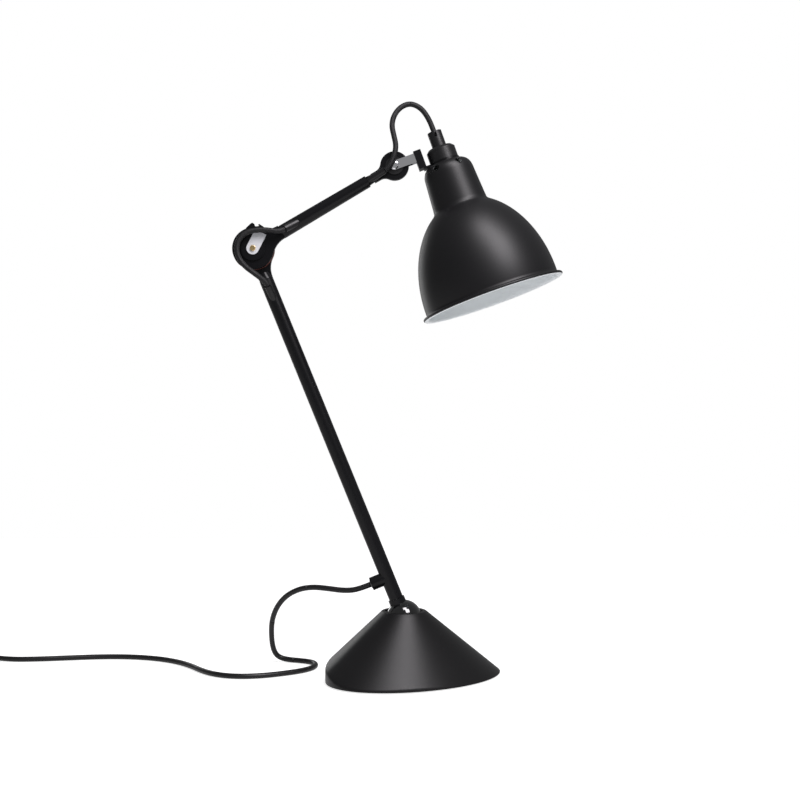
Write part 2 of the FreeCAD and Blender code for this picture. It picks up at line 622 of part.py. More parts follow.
def hex_nut(name, node, across, thick, hole, low, frame):
    """A hexagon nut standing on the height low."""
    body = primitive("Prism", name + "_hexagon", Placement(Vector(0, 0, size(low)), Rotation()),
                     Circumradius=across + " / 2", Height=thick)
    body.Polygon = 6
    bore_through = cylinder(name + "_thread", hole, thick, Vector(0, 0, size(low)))
    return keep(node, cut(node, body, bore_through), frame)


hex_nut("elbow", "elbow_nut", "nut_across", "nut_thick", "bolt_radius",
        lock_face + " - lock_thick - nut_thick", elbow_pivot)

# plain aluminium plate, round at the screw end and square at the other
badge_frame = elbow_pivot.multiply(Placement(Vector(0, 0, size(head_face)),
                                             Rotation(Z, -size("badge_turn"))))
badge_round = cylinder("badge_round_end", "badge_wide / 2", "badge_thick")
badge_bar = primitive("Box", "badge_bar", Placement(Vector(-size("badge_wide / 2"), 0, 0), Rotation()),
                      Length="badge_wide", Width="badge_long - badge_wide / 2", Height="badge_thick")
badge_hole = cylinder("badge_hole", "badge_screw_shank", "badge_thick")
keep("blank_plate", cut("blank_plate", fuse("blank_plate", badge_round, badge_bar), badge_hole),
     badge_frame)
turned("plate_screw", [("0", "0 - badge_screw_long"), ("badge_screw_shank", "0 - badge_screw_long"),
                       ("badge_screw_shank", "badge_thick"), ("badge_screw", "badge_thick"),
                       ("badge_screw * 0.8", "badge_thick + badge_screw / 2"),
                       ("0", "badge_thick + badge_screw / 2")], badge_frame)

# clip: a sprung tongue and a spike on the disc's edge, either side of the cable's top
clip_line = [(-8.0, 17.5), (-7.0, 20.2), (-2.4, 24.6), (-0.8, 25.6), (1.0, 24.5), (1.9, 21.9), (4.4, 21.9),
             (6.0, 22.4), (5.2, 23.6), (6.3, 24.2), (10.8, 21.3), (13.0, 19.3), (12.0, 16.5)]
clip_front = -size("washer_thick / 2 + disc_thick")
clip_points = [elbow + Vector(x, clip_front, z) for x, z in clip_line]
clip = Part.Face(Part.makePolygon(clip_points + clip_points[:1])).extrude(Y * size("clip_width"))
clip = clip.cut(Part.makeCylinder(size("disc_radius + fit_gap"), 40, elbow - Y * 20, Y))
beside_neck = front_fitting.copy()
beside_neck.Placement = arm_frame
shaped("cable_clip", clip.cut(beside_neck), world)

# ============================================================== upper arm
tube_long = "(arm_length - head_neck - neck_reach)"
arm_outer = primitive("Cone", "arm_outer", Placement(Vector(0, 0, size("neck_reach")), Rotation()),
                      Radius1="arm_start_radius", Radius2="arm_end_radius", Height=tube_long)
arm_hole = cylinder("arm_hole", "arm_bore", "arm_length", Vector())
arm_entry = Vector(0, -size("arm_start_radius"), size("ferrule_place"))
arm_mouth = arm_entry - ferrule_axis(1) * size("ferrule_out")
arm_entry_hole = cylinder("arm_entry_hole", "ferrule_radius + fit_gap",
                          "ferrule_out + ferrule_in + 5", arm_mouth, ferrule_axis(1))
keep("upper_tube", cut("upper_tube", arm_outer, arm_hole, arm_entry_hole), arm_frame)


def ferrule(node, mouth, direction, frame):
    """A short sleeve on the cable where it goes into a tube."""
    spot = frame.multiply(Placement(mouth, Rotation(Z, direction)))
    long = "ferrule_out + ferrule_in"
    turned(node, [("cable_radius", "0"), ("ferrule_radius", "0"),
                  ("ferrule_radius", long), ("cable_radius", long)], spot)


ferrule("stem_ferrule", stem_mouth, ferrule_axis(-1), stem_frame)
ferrule("arm_ferrule", arm_mouth, ferrule_axis(1), arm_frame)

# ============================================================== head joint
to_elbow = Placement(head, along_arm.multiply(Rotation(Y, 180)))
head_fitting = fitting(+1, size("head_disc"), size("head_disc_thick"), 0,
                       size("head_neck_radius"), size("head_flare"), size("head_neck"),
                       size("arm_bore"), size("head_neck + head_stub"), size("pivot_radius + fit_gap"))
sleeve_line = -size("arm_bore - sleeve_radius")
slope = math.radians(size("sleeve_slope"))
sleeve_foot = Vector(0, sleeve_line, size("head_neck - 0.9"))
sleeve_dir = Vector(0, -math.sin(slope), -math.cos(slope))


def clearance_way(start, direction, long):
    """Room for the sleeve or the wire: a cylinder, open towards the viewer."""
    radius = size("sleeve_radius + fit_gap")
    way = Part.makeCylinder(radius, long, start, direction)
    front = Part.makeBox(2 * radius, size("head_disc"), long, Vector(-radius, -size("head_disc"), 0))
    front.Placement = Placement(start, Rotation(Z, direction))
    if front.isInside(start + Vector(0, 1, 0) + direction, 0.01, True):
        front.Placement = Placement(start, Rotation(Z, direction).multiply(Rotation(Z, 180)))
    return way.fuse(front)


head_fitting = head_fitting.cut(clearance_way(sleeve_foot - sleeve_dir, sleeve_dir, size("sleeve_long + 4")))
head_fitting = head_fitting.cut(clearance_way(sleeve_foot, Z, size("head_stub + 1")))
shaped("head_fitting", head_fitting, to_elbow)
sleeve_frame = to_elbow.multiply(Placement(sleeve_foot, Rotation(Z, sleeve_dir)))
turned("cable_sleeve", [("cable_radius", "0"), ("sleeve_radius", "0"),
                        ("sleeve_radius", "sleeve_long"), ("cable_radius", "sleeve_long")], sleeve_frame)

washer_low = "(head_disc_thick / 2 + face_gap)"
for side, node in ((1, "head_washer_front"), (-1, "head_washer_rear")):
    low = washer_low if side > 0 else "(0 - %s - head_washer)" % washer_low
    edge_radius = "front_washer_radius" if side > 0 else "head_washer_radius"
    turned(node, [("pivot_radius", low), (edge_radius, low),
                  (edge_radius, low + " + head_washer"),
                  ("pivot_radius", low + " + head_washer")], head_pivot)

# chromed strap bent round the disc: two legs and a web
leg_low = size(washer_low + " + head_washer")
strap_out = leg_low + size("strap_thick")
half_strap = size("strap_width / 2")
web_low = size("strap_reach")
leg = Part.makeBox(2 * half_strap, strap_out * 2, web_low + size("strap_thick"),
                   Vector(-half_strap, -strap_out, 0))
leg = leg.fuse(Part.makeCylinder(half_strap, 2 * strap_out, Vector(0, -strap_out, 0), Y))
inside = Part.makeBox(8 * half_strap, 2 * leg_low, web_low + 2 * half_strap,
                      Vector(-4 * half_strap, -leg_low, -2 * half_strap))
strap = leg.cut(inside).removeSplitter()
strap = strap.cut(Part.makeCylinder(size("pivot_radius"), 2 * strap_out, Vector(0, -strap_out, 0), Y))
strap = strap.cut(Part.makeCylinder(size("swivel_radius + fit_gap"), size("2 * strap_thick"),
                                    Vector(0, 0, web_low - size("strap_thick") / 2)))
shaped("chrome_strap", strap, strap_frame)

strap_face = "(%s + head_washer + strap_thick)" % washer_low
nut_low = "(0 - %s - pivot_nut_thick)" % strap_face
turned("pivot_screw", [("0", nut_low), ("pivot_radius", nut_low), ("pivot_radius", strap_face),
                       ("pivot_head", strap_face), ("pivot_head * 0.75", strap_face + " + pivot_head_thick"),
                       ("0", strap_face + " + pivot_head_thick")], head_pivot)
hex_nut("pivot", "pivot_nut", "pivot_nut_across", "pivot_nut_thick", "pivot_radius", nut_low, head_pivot)

# ========================================================== shade bracket
block_low = size("strap_reach + strap_thick + face_gap")
block_high = block_low + size("block_long")
lean = size("strap_rise + shade_lean")
cap_foot = size("shoulder_height + ring_thick")
to_shade = block_frame.inverse().multiply(shade_frame)
block = Part.makeBox(size("block_high"), size("block_deep"), size("block_long"),
                     Vector(-size("block_high / 2 - block_drop"), -size("block_deep / 2"), block_low))
bridge = Part.makeBox(size("block_deep * 0.5 + shoulder_flat"), size("block_deep"), size("ring_thick"),
                      Vector(-size("block_deep * 0.5 + shoulder_flat"), -size("block_deep / 2"),
                             size("shoulder_height")))
ring_disc = Part.makeCylinder(size("ring_radius"), size("ring_thick"), Vector(0, 0, size("shoulder_height")))
bridge = bridge.fuse(ring_disc).transformGeometry(to_shade.toMatrix())
clear_cap = Part.makeCylinder(size("shoulder_flat"), size("cap_height"), Vector(0, 0, cap_foot))
clear_shade = Part.makeCone(size("throat_radius"), size("shoulder_flat"), size("block_deep"),
                            Vector(0, 0, size("shoulder_height - block_deep")))
bracket = block.cut(clear_cap.fuse(clear_shade).transformGeometry(to_shade.toMatrix())).fuse(bridge)
centre_hole = Part.makeCylinder(size("shade_hole"), size("3 * ring_thick"),
                                Vector(0, 0, size("shoulder_height - ring_thick")))
bracket = bracket.cut(centre_hole.transformGeometry(to_shade.toMatrix()))
bracket = bracket.cut(Part.makeCylinder(size("swivel_radius"), size("swivel_long - strap_thick"),
                                        Vector(0, 0, block_low)))
shaped("shade_bracket", bracket.removeSplitter(), block_frame)
head_low = "(strap_reach - face_gap - swivel_head_thick)"
turned("swivel_screw", [("0", head_low), ("swivel_head", head_low),
                        ("swivel_head", head_low + " + swivel_head_thick"),
                        ("swivel_radius", head_low + " + swivel_head_thick"),
                        ("swivel_radius", head_low + " + swivel_head_thick + swivel_long"),
                        ("0", head_low + " + swivel_head_thick + swivel_long")], block_frame)

# ================================================================== shade
def bell_radius(height):
    """Radius of the bell's ellipse at a height above the mouth."""
    part_way = (height - size("bell_start")) / size("bell_height")
    return size("shade_radius") * math.sqrt(1 - part_way ** 2)


def shade_section(inset):
    """Half outline of the sheet, from mouth to top hole, drawn in by an inset."""
    start = size("bell_start")
    meet = size("throat_start")
    curve = Part.Ellipse(Vector(size("bell_height") - inset, 0, 0), Vector(0, size("shade_radius") - inset, 0),
                         Vector(0, 0, 0))
    angle = math.acos((meet - start) / (size("bell_height") - inset))
    bell = curve.toShape(angle, math.pi / 2)
    place = Placement(Vector(0, 0, start), Rotation(Vector(0, 0, 1), Vector(1, 0, 0), Vector(0, 1, 0), "ZXY"))
    bell.Placement = place
    low = bell.Vertexes[0].Point if bell.Vertexes[0].Z > bell.Vertexes[1].Z else bell.Vertexes[1].Point
    wide = bell.Vertexes[1].Point if bell.Vertexes[0].Z > bell.Vertexes[1].Z else bell.Vertexes[0].Point
    neck = Vector(size("throat_top_radius") - inset, 0, size("throat_top"))
    flat = Vector(size("shoulder_flat") - inset, 0, size("shoulder_height") - inset)
    bulge = Vector(neck.x - 0.24 * (neck.x - flat.x), 0, neck.z + 0.72 * (flat.z - neck.z))
    hole = Vector(size("shade_hole"), 0, flat.z)
    edges = [bell, Part.LineSegment(low, neck).toShape(), Part.Arc(neck, bulge, flat).toShape(),
             Part.LineSegment(flat, hole).toShape()]
    return edges, wide, hole


outside, wide_out, hole_out = shade_section(0)
inside_edges, wide_in, hole_in = shade_section(size("shade_wall"))
bead = size("bead_round")
lip_out = Vector(size("bead_radius"), 0, bead)
lip_in = Vector(wide_in.x, 0, 0)
rim_edges = [Part.LineSegment(wide_out, Vector(wide_out.x + 0.4, 0, 2 * bead)).toShape(),
             Part.LineSegment(Vector(wide_out.x + 0.4, 0, 2 * bead),
                              Vector(size("bead_radius - bead_round"), 0, 2 * bead)).toShape(),
             Part.Arc(Vector(size("bead_radius - bead_round"), 0, 2 * bead), lip_out,
                      Vector(size("bead_radius - bead_round"), 0, 0)).toShape(),
             Part.LineSegment(Vector(size("bead_radius - bead_round"), 0, 0), lip_in).toShape(),
             Part.LineSegment(lip_in, wide_in).toShape()]
top_edge = Part.LineSegment(hole_out, hole_in).toShape()
section = Part.Wire(Part.__sortEdges__(outside + rim_edges + inside_edges + [top_edge]))
shade = Part.Face(section).revolve(Vector(), Z, 360)
if shade.Volume < 0:
    shade.reverse()
for k in range(int(size("vent_count"))):
    angle = math.radians(360 * (k + 0.5) / size("vent_count"))
    outward = Vector(math.cos(angle), math.sin(angle), 1).normalize()
    at = Vector(math.cos(angle), math.sin(angle), 0) * size("throat_top_radius - 1.5") + Z * size("vent_height")
    shade = shade.cut(Part.makeCylinder(size("vent_radius"), size("throat_radius"),
                                        at - outward * size("throat_radius / 2"), outward))
# one spun sheet, cut into three bands so that its collision can follow the bell
band_edges = [(-5, size("bell_split")), (size("bell_split"), size("throat_start")),
              (size("throat_start"), size("shoulder_height + 5"))]
for node, (low, high) in zip(("shade", "shade_upper", "shade_neck"), band_edges):
    band = Part.makeCylinder(size("bead_radius + 5"), high - low, Vector(0, 0, low))
    shaped(node, shade.common(band), shade_frame)

# ============================================================= lampholder
cap_low = "(shoulder_height + ring_thick)"
cap_top = "(%s + cap_height)" % cap_low
turned("socket_cap", [("grip_radius - 2", cap_top), ("cap_radius - cap_round", cap_top),
                      ("cap_radius", cap_top + " - cap_round"), ("cap_radius", cap_low),
                      ("cap_radius - cap_wall", cap_low), ("cap_radius - cap_wall", cap_top + " - cap_wall"),
                      ("grip_radius - 2", cap_top + " - cap_wall")], shade_frame)
grip = cylinder("grip_body", "grip_radius", "grip_height", Vector(0, 0, size(cap_top)))
grip_hole = cylinder("grip_hole", "cable_radius + fit_gap", "grip_height", Vector(0, 0, size(cap_top)))
slots = [primitive("Box", "grip_slot_%d" % k,
                   Placement(Rotation(Z, turn).multVec(Vector(0, -size("grip_slot / 2"), 0))
                             + Z * size(cap_top + " + grip_height - grip_slot_deep"), Rotation(Z, turn)),
                   Length="grip_radius + 1", Width="grip_slot", Height="grip_slot_deep")
         for k, turn in enumerate((0, 90, 180, 270))]
keep("cord_grip", cut("cord_grip", grip, grip_hole, *slots), shade_frame)

holder_foot = "(shoulder_height - holder_long)"
holder_shelf = "(shoulder_height - shade_wall)"
floor = "(shoulder_height - holder_floor)"
turned("lampholder", [("holder_bore", holder_foot), ("holder_radius", holder_foot),
                      ("holder_radius", holder_shelf + " - holder_ring_thick - 1"),
                      ("holder_thread", holder_shelf + " - holder_ring_thick - 1"),
                      ("holder_thread", cap_low + " + 2"), ("cable_radius", cap_low + " + 2"),
                      ("cable_radius", floor), ("holder_bore", floor)], shade_frame)
turned("holder_ring_nut", [("holder_thread", holder_shelf + " - holder_ring_thick"),
                           ("holder_ring", holder_shelf + " - holder_ring_thick"),
                           ("holder_ring", holder_shelf), ("holder_thread", holder_shelf)], shade_frame)
turned("centre_contact", [("cable_radius", floor + " - contact_rise"),
                          ("contact_width", floor + " - contact_rise"),
                          ("contact_width", floor + " - contact_rise + contact_thick"),
                          ("cable_radius + contact_thick", floor + " - contact_rise + contact_thick"),
                          ("cable_radius + contact_thick", floor), ("cable_radius", floor)], shade_frame)
cap_end = "(%s - contact_rise)" % floor
globe = "(%s - bulb_reach)" % cap_end
turned("bulb_cap", [("0", cap_end + " - base_cap_long"), ("base_cap_radius", cap_end + " - base_cap_long"),
                    ("base_cap_radius", cap_end + " - 3"), ("contact_width", cap_end), ("0", cap_end)],
       shade_frame)
neck_at = "(%s - base_cap_long)" % cap_end
bulb_ball = primitive("Sphere", "bulb_ball", Placement(Vector(0, 0, size(globe)), Rotation()),
                      Radius="bulb_radius")
bulb_neck = primitive("Cone", "bulb_neck", Placement(Vector(0, 0, size(globe + " + bulb_radius / 2")), Rotation()),
                      Radius1="bulb_radius * 0.8", Radius2="base_cap_radius",
                      Height="%s - %s - bulb_radius / 2" % (neck_at, globe))
keep("bulb_glass", fuse("bulb_glass", bulb_ball, bulb_neck), shade_frame)

# ================================================================= cables
entry = stem_frame.multVec(stem_mouth)
arrival = arm_frame.multVec(arm_mouth)
front = -size(disc_face + " + bolt_head_thick + badge_thick + cable_radius + 1.2")


def seen(across, up, depth):
    """A point given from the elbow axis: to the right, up, and depth from the middle plane."""
    return elbow + Vector(across, depth, up)


out_of_stem = stem_frame.multVec(stem_mouth - ferrule_axis(-1) * 4)
into_arm = arm_frame.multVec(arm_mouth - ferrule_axis(1) * 7)
elbow_route = [entry, out_of_stem, seen(2.9, -25.9, -15.8), seen(-7.8, -18.2, front),
               seen(-14.1, -9.0, front), seen(-15.4, 0.0, front), seen(-13.4, 8.6, front),
               seen(-5.8, 15.2, front), seen(3.4, 17.4, front), seen(14.5, 17.6, front), into_arm, arrival]
cord("elbow_cable", elbow_route, size("cable_radius"), world)

sleeve_exit = sleeve_frame.multVec(Vector(0, 0, size("sleeve_long")))
grip_floor = shade_frame.multVec(Vector(0, 0, size(cap_top + " + 1")))
above_grip = shade_frame.multVec(Vector(0, 0, size(cap_top + " + grip_height + 4")))
clear_of_sleeve = sleeve_frame.multVec(Vector(0, 0, size("sleeve_long + 5")))
head_route = [sleeve_exit, clear_of_sleeve, head + Vector(0.2, -7.8, 9.6),
              head + Vector(1.6, -7.0, 19.0), head + Vector(-0.6, -5.6, 29.0),
              head + Vector(-2.9, -3.8, 39.5), head + Vector(-0.6, -1.8, 50.0),
              head + Vector(6.0, -0.2, 58.6), head + Vector(15.6, 1.0, 62.6),
              head + Vector(25.8, 1.8, 58.6), head + Vector(33.0, 2.4, 49.6), above_grip, grip_floor]
cord("head_cable", head_route, size("cable_radius"), world)

# the cable inside the stem: from the boss round into the tube and up to the ferrule
boss_at = size("boss_place")
wire_low = boss_at + 3 * size("boss_reach - boss_bore_deep")
wire_high = size("stem_length - stem_ferrule_place - 32")
stem_wire = tube_along([Vector(-size("boss_reach - boss_bore_deep"), 0, boss_at), Vector(0, 0, boss_at),
                        Vector(0, 0, wire_low)], size("wire_radius"))[0]
riser = Part.makeCylinder(size("wire_radius"), wire_high - wire_low, Vector(0, 0, wire_low))
to_axis = 1 / math.sin(math.radians(size("ferrule_dip")))
upper_run = tube_along([Vector(0, 0, wire_high), stem_entry + ferrule_axis(-1) * (size("stem_radius") * to_axis),
                        stem_entry + ferrule_axis(-1) * size("ferrule_in")],
                       size("wire_radius"))[0]
in_bush = Part.makeCylinder(size("cord_radius"), size("bush_proud + boss_bore_deep"),
                            Vector(-size("boss_reach + bush_proud"), 0, boss_at), X)
shaped("stem_wire", stem_wire.fuse([riser, upper_run, in_bush]).removeSplitter(), stem_frame)

arm_far = size("arm_length - head_neck")
arm_wire = tube_along([arm_entry + ferrule_axis(1) * size("ferrule_in"), arm_entry + ferrule_axis(1) * (size("arm_start_radius") * to_axis),
                       Vector(0, 0, size("ferrule_place + 30"))], size("wire_radius"))[0]
arm_run = tube_along([Vector(0, 0, size("ferrule_place + 30")), Vector(0, 0, arm_far - 25),
                      Vector(0, sleeve_line, arm_far - 12), Vector(0, sleeve_line, arm_far + 0.8)],
                     size("wire_radius"))[0]
shaped("arm_wire", arm_wire.fuse(arm_run).removeSplitter(), arm_frame)

# ------------------------------------------------------------- mains cord
bush_mouth = bush_frame.multVec(Vector(0, 0, size("bush_proud")))
floor_line = size("lead_height")
landing = Vector(-115.0, 71.0, floor_line)
RISE = [bush_mouth, bush_frame.multVec(Vector(0, 0, size("bush_proud + 14"))), (-60.0, 3.5, 86.2), (-75.5, 8.0, 87.6), (-91.5, 14.0, 88.4),
        (-106.5, 22.0, 85.2), (-120.5, 31.5, 77.0), (-131.0, 42.0, 64.0), (-137.0, 52.5, 48.5),
        (-138.6, 62.0, 32.5), (-138.0, 70.0, 17.0), (-134.5, 74.8, 7.0), (-125.8, 75.15, floor_line),
        landing]
GROUND = [(-102.0, 66.0), (-93.0, 56.5), (-90.6, 43.5), (-94.6, 30.0), (-104.5, 17.5),
          (-119.0, 7.0), (-136.5, -3.0), (-156.0, -8.5), (-175.0, -6.5), (-192.0, 3.5),
          (-206.0, 20.0), (-219.0, 41.5), (-236.0, 62.0), (-260.0, 79.0), (-290.0, 88.5),
          (-322.0, 89.0), (-354.0, 83.0), (-386.0, 76.5), (-418.0, 74.5)]
COIL_PLACE = Vector(-489.0, 76.0, 0)
coil_outer = size("coil_mean + coil_width / 2")
coil_edge = COIL_PLACE + X * (coil_outer - 1) + Z * floor_line
rise_long = cord("cord_rise", RISE, size("cord_radius"), world)[1]
floor_route = [landing] + [Vector(x, y, floor_line) for x, y in GROUND] + [coil_edge]
floor_long = cord("cord_floor", floor_route, size("cord_radius"), world)[1]

# the put-away coil just beyond, tied, with the plug beside it
coil_hole = size("coil_mean - coil_width / 2")
ring_of_cord = Part.makeCylinder(coil_outer, size("coil_height"), COIL_PLACE).cut(
    Part.makeCylinder(coil_hole, size("coil_height"), COIL_PLACE))
band_in = Part.makeBox(size("tie_width"), size("coil_width"), size("coil_height - tie_thick"),
                       COIL_PLACE + Vector(-size("tie_width / 2"), coil_hole + 0.3, size("tie_thick")))
band_out = Part.makeBox(size("tie_width"), size("coil_width + 2 * tie_thick"), size("coil_height + tie_thick"),
                        COIL_PLACE + Vector(-size("tie_width / 2"), coil_hole + 0.3 - size("tie_thick"), 0))
tie = band_out.cut(band_in)
shaped("cord_tie", tie, world)


plug_line = Vector(-532.0, 37.0, size("plug_thick / 2"))
tail_route = [Vector(-531.1, 76.0, floor_line), (-531.6, 62.0, 3.1), (-532.6, 49.5, 4.9), plug_line]
tail_long = cord("cord_tail", tail_route, size("cord_radius"), world)[1]
notch = Part.makeBox(4, size("2.4 * cord_radius"), size("3.1 * cord_radius"),
                     coil_edge - Vector(0.15, size("1.2 * cord_radius"), size("2 * cord_radius")))
shaped("cord_coil", ring_of_cord.cut(tie).cut(notch), world)
turns_long = size("cord_length") - rise_long - floor_long - tail_long
print("cord in the coil %.1f mm, %.2f turns" % (turns_long, turns_long / (2 * math.pi * size("coil_mean"))))

# plug: strain relief, body and two pins, lying flat and pointing to the viewer
plug_frame = Placement(plug_line, Rotation(Z, -90).multiply(Rotation(Y, 90)))
turned("plug_relief", [("0", "0"), ("cord_radius", "0"), ("relief_radius", "relief_long"), ("0", "relief_long")],
       plug_frame)
body_low = size("relief_long")
plug_body = Part.makeBox(size("plug_thick"), 2 * size("plug_radius"), size("plug_long"),
                         Vector(-size("plug_thick / 2"), -size("plug_radius"), body_low))
corners = [e for e in plug_body.Edges if abs(e.Vertexes[0].Z - e.Vertexes[-1].Z) > 1]
plug_body = plug_body.makeFillet(size("plug_round"), corners)
pin_places = [Vector(0, side * size("pin_spacing / 2"), body_low + size("plug_long")) for side in (-1, 1)]
shaped("plug_body", plug_body, plug_frame)
pins = []
for place in pin_places:
    pins.append(Part.makeCylinder(size("pin_radius"), size("pin_long"), place))
shaped("plug_pins", Part.makeCompound(pins), plug_frame)

doc.recompute()
problems = [o.Name for o in doc.Objects if "Invalid" in o.State or "Error" in o.State]
print("failed objects:", problems)
os.makedirs("parts", exist_ok=True)
for node, obj in parts.items():
    shape = obj.Shape
    if shape.isNull() or not shape.isValid():
        raise RuntimeError("bad shape: " + node)
    shape.exportStep("parts/%s.step" % node)
    print("%-22s %d solids %.1f mm3" % (node, len(shape.Solids), shape.Volume))
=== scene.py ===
"""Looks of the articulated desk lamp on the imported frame. Metres: +Z up, +X right in the photo, +Y away."""
import math
import bpy
import numpy as np
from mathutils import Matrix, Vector


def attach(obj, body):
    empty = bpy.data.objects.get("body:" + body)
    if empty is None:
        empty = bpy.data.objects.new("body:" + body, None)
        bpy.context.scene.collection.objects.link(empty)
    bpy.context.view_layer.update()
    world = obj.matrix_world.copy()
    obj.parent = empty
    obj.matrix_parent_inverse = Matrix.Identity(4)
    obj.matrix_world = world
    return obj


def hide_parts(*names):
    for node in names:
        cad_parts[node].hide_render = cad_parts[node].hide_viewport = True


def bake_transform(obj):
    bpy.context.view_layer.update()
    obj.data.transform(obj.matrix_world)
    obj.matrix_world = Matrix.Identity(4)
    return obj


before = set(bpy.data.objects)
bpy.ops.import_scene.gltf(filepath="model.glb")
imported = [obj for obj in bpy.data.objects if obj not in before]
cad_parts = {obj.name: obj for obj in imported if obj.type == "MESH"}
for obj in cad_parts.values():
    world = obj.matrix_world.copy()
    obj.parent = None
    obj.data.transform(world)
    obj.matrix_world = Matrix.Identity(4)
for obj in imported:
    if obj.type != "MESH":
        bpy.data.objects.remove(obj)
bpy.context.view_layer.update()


# ------------------------------------------------------------ camera
# It stands level, 1.35 m before the lamp's middle plane and opposite the middle of the lamp. At that plane
# one pixel of the photograph is 1 mm.
scene = bpy.context.scene
scene.view_settings.view_transform = "Standard"
scene.view_settings.look = "None"
camera_data = bpy.data.cameras.new("camera")
camera_data.lens = 60.75
camera_data.sensor_width = 36.0
camera_data.shift_y = -0.02
camera_data.clip_start = 0.05
camera = bpy.data.objects.new("camera", camera_data)
camera.location = (-0.004, -1.350, 0.2934)
camera.rotation_euler = (math.pi / 2, 0, 0)
scene.collection.objects.link(camera)
scene.camera = camera


# ------------------------------------------------------------ lights
# A wide light stands high in front at the right and gives the long soft streak on the shade. One over the
# base gives the streak down its cone, and a weak one behind at the left draws the dark edges there.
def soft_light(name, place, target, width, height, power, colour=(1.0, 1.0, 1.0)):
    """An area light at place, facing target."""
    data = bpy.data.lights.new(name, "AREA")
    data.shape = "RECTANGLE"
    data.size, data.size_y = width, height
    data.energy = power
    data.color = colour
    light = bpy.data.objects.new(name, data)
    light.location = place
    light.rotation_euler = (Vector(target) - Vector(place)).to_track_quat("-Z", "Y").to_euler()
    scene.collection.objects.link(light)


violet_white = (1.0, 0.965, 1.0)
soft_light("key", (0.75, -1.10, 1.65), (0.05, 0.0, 0.30), 0.8, 0.8, 36, violet_white)
soft_light("top", (0.16, -0.70, 1.80), (0.0, 0.0, 0.0), 0.6, 0.5, 15, violet_white)
soft_light("left_rim", (-0.85, 1.50, 0.50), (0.0, 0.0, 0.25), 0.4, 1.0, 3)


# ------------------------------------------------------------ surroundings
# White paper all round. The camera and the glass see it white, polished surfaces mirror a fifth of it, and
# it is much darker for the light that falls on the lamp, which comes from the three lights.
mirrored_share = 0.20


def white_share(tree):
    """How white the surroundings are: all white as seen and through glass, a fifth white in reflections."""
    rays = tree.nodes.new("ShaderNodeLightPath")
    seen = tree.nodes.new("ShaderNodeMath")
    seen.operation = "MAXIMUM"
    tree.links.new(rays.outputs["Is Camera Ray"], seen.inputs[0])
    tree.links.new(rays.outputs["Is Transmission Ray"], seen.inputs[1])
    share = tree.nodes.new("ShaderNodeMath")
    share.operation = "MULTIPLY_ADD"
    share.use_clamp = True
    share.inputs[1].default_value = mirrored_share
    tree.links.new(rays.outputs["Is Glossy Ray"], share.inputs[0])
    tree.links.new(seen.outputs[0], share.inputs[2])
    return share.outputs[0]


scene.world = bpy.data.worlds.new("studio")
scene.world.use_nodes = True
tree = scene.world.node_tree
tree.nodes.clear()
dim, white, mixed, world_out = [tree.nodes.new(kind) for kind in (
    "ShaderNodeBackground", "ShaderNodeBackground", "ShaderNodeMixShader", "ShaderNodeOutputWorld")]
dim.inputs["Color"].default_value = (0.80, 0.82, 0.85, 1)
dim.inputs["Strength"].default_value = 0.10
white.inputs["Color"].default_value = (1, 1, 1, 1)
tree.links.new(white_share(tree), mixed.inputs["Fac"])
tree.links.new(dim.outputs[0], mixed.inputs[1])
tree.links.new(white.outputs[0], mixed.inputs[2])
tree.links.new(mixed.outputs[0], world_out.inputs["Surface"])


# ------------------------------------------------------------ floor
# A plain table top of painted board, as wide as the picture needs. It lies a little under the lamp's rubber
# pad and is as white as the paper round it.
def mesh_object(name, points, faces):
    """A smooth shaded mesh of points in metres and faces of point numbers."""
    mesh = bpy.data.meshes.new(name)
    mesh.from_pydata(np.asarray(points).tolist(), [], [[int(corner) for corner in face] for face in faces])
    mesh.validate()
    mesh.polygons.foreach_set("use_smooth", [True] * len(mesh.polygons))
    mesh.update()
    made = bpy.data.objects.new(name, mesh)
    scene.collection.objects.link(made)
    return made


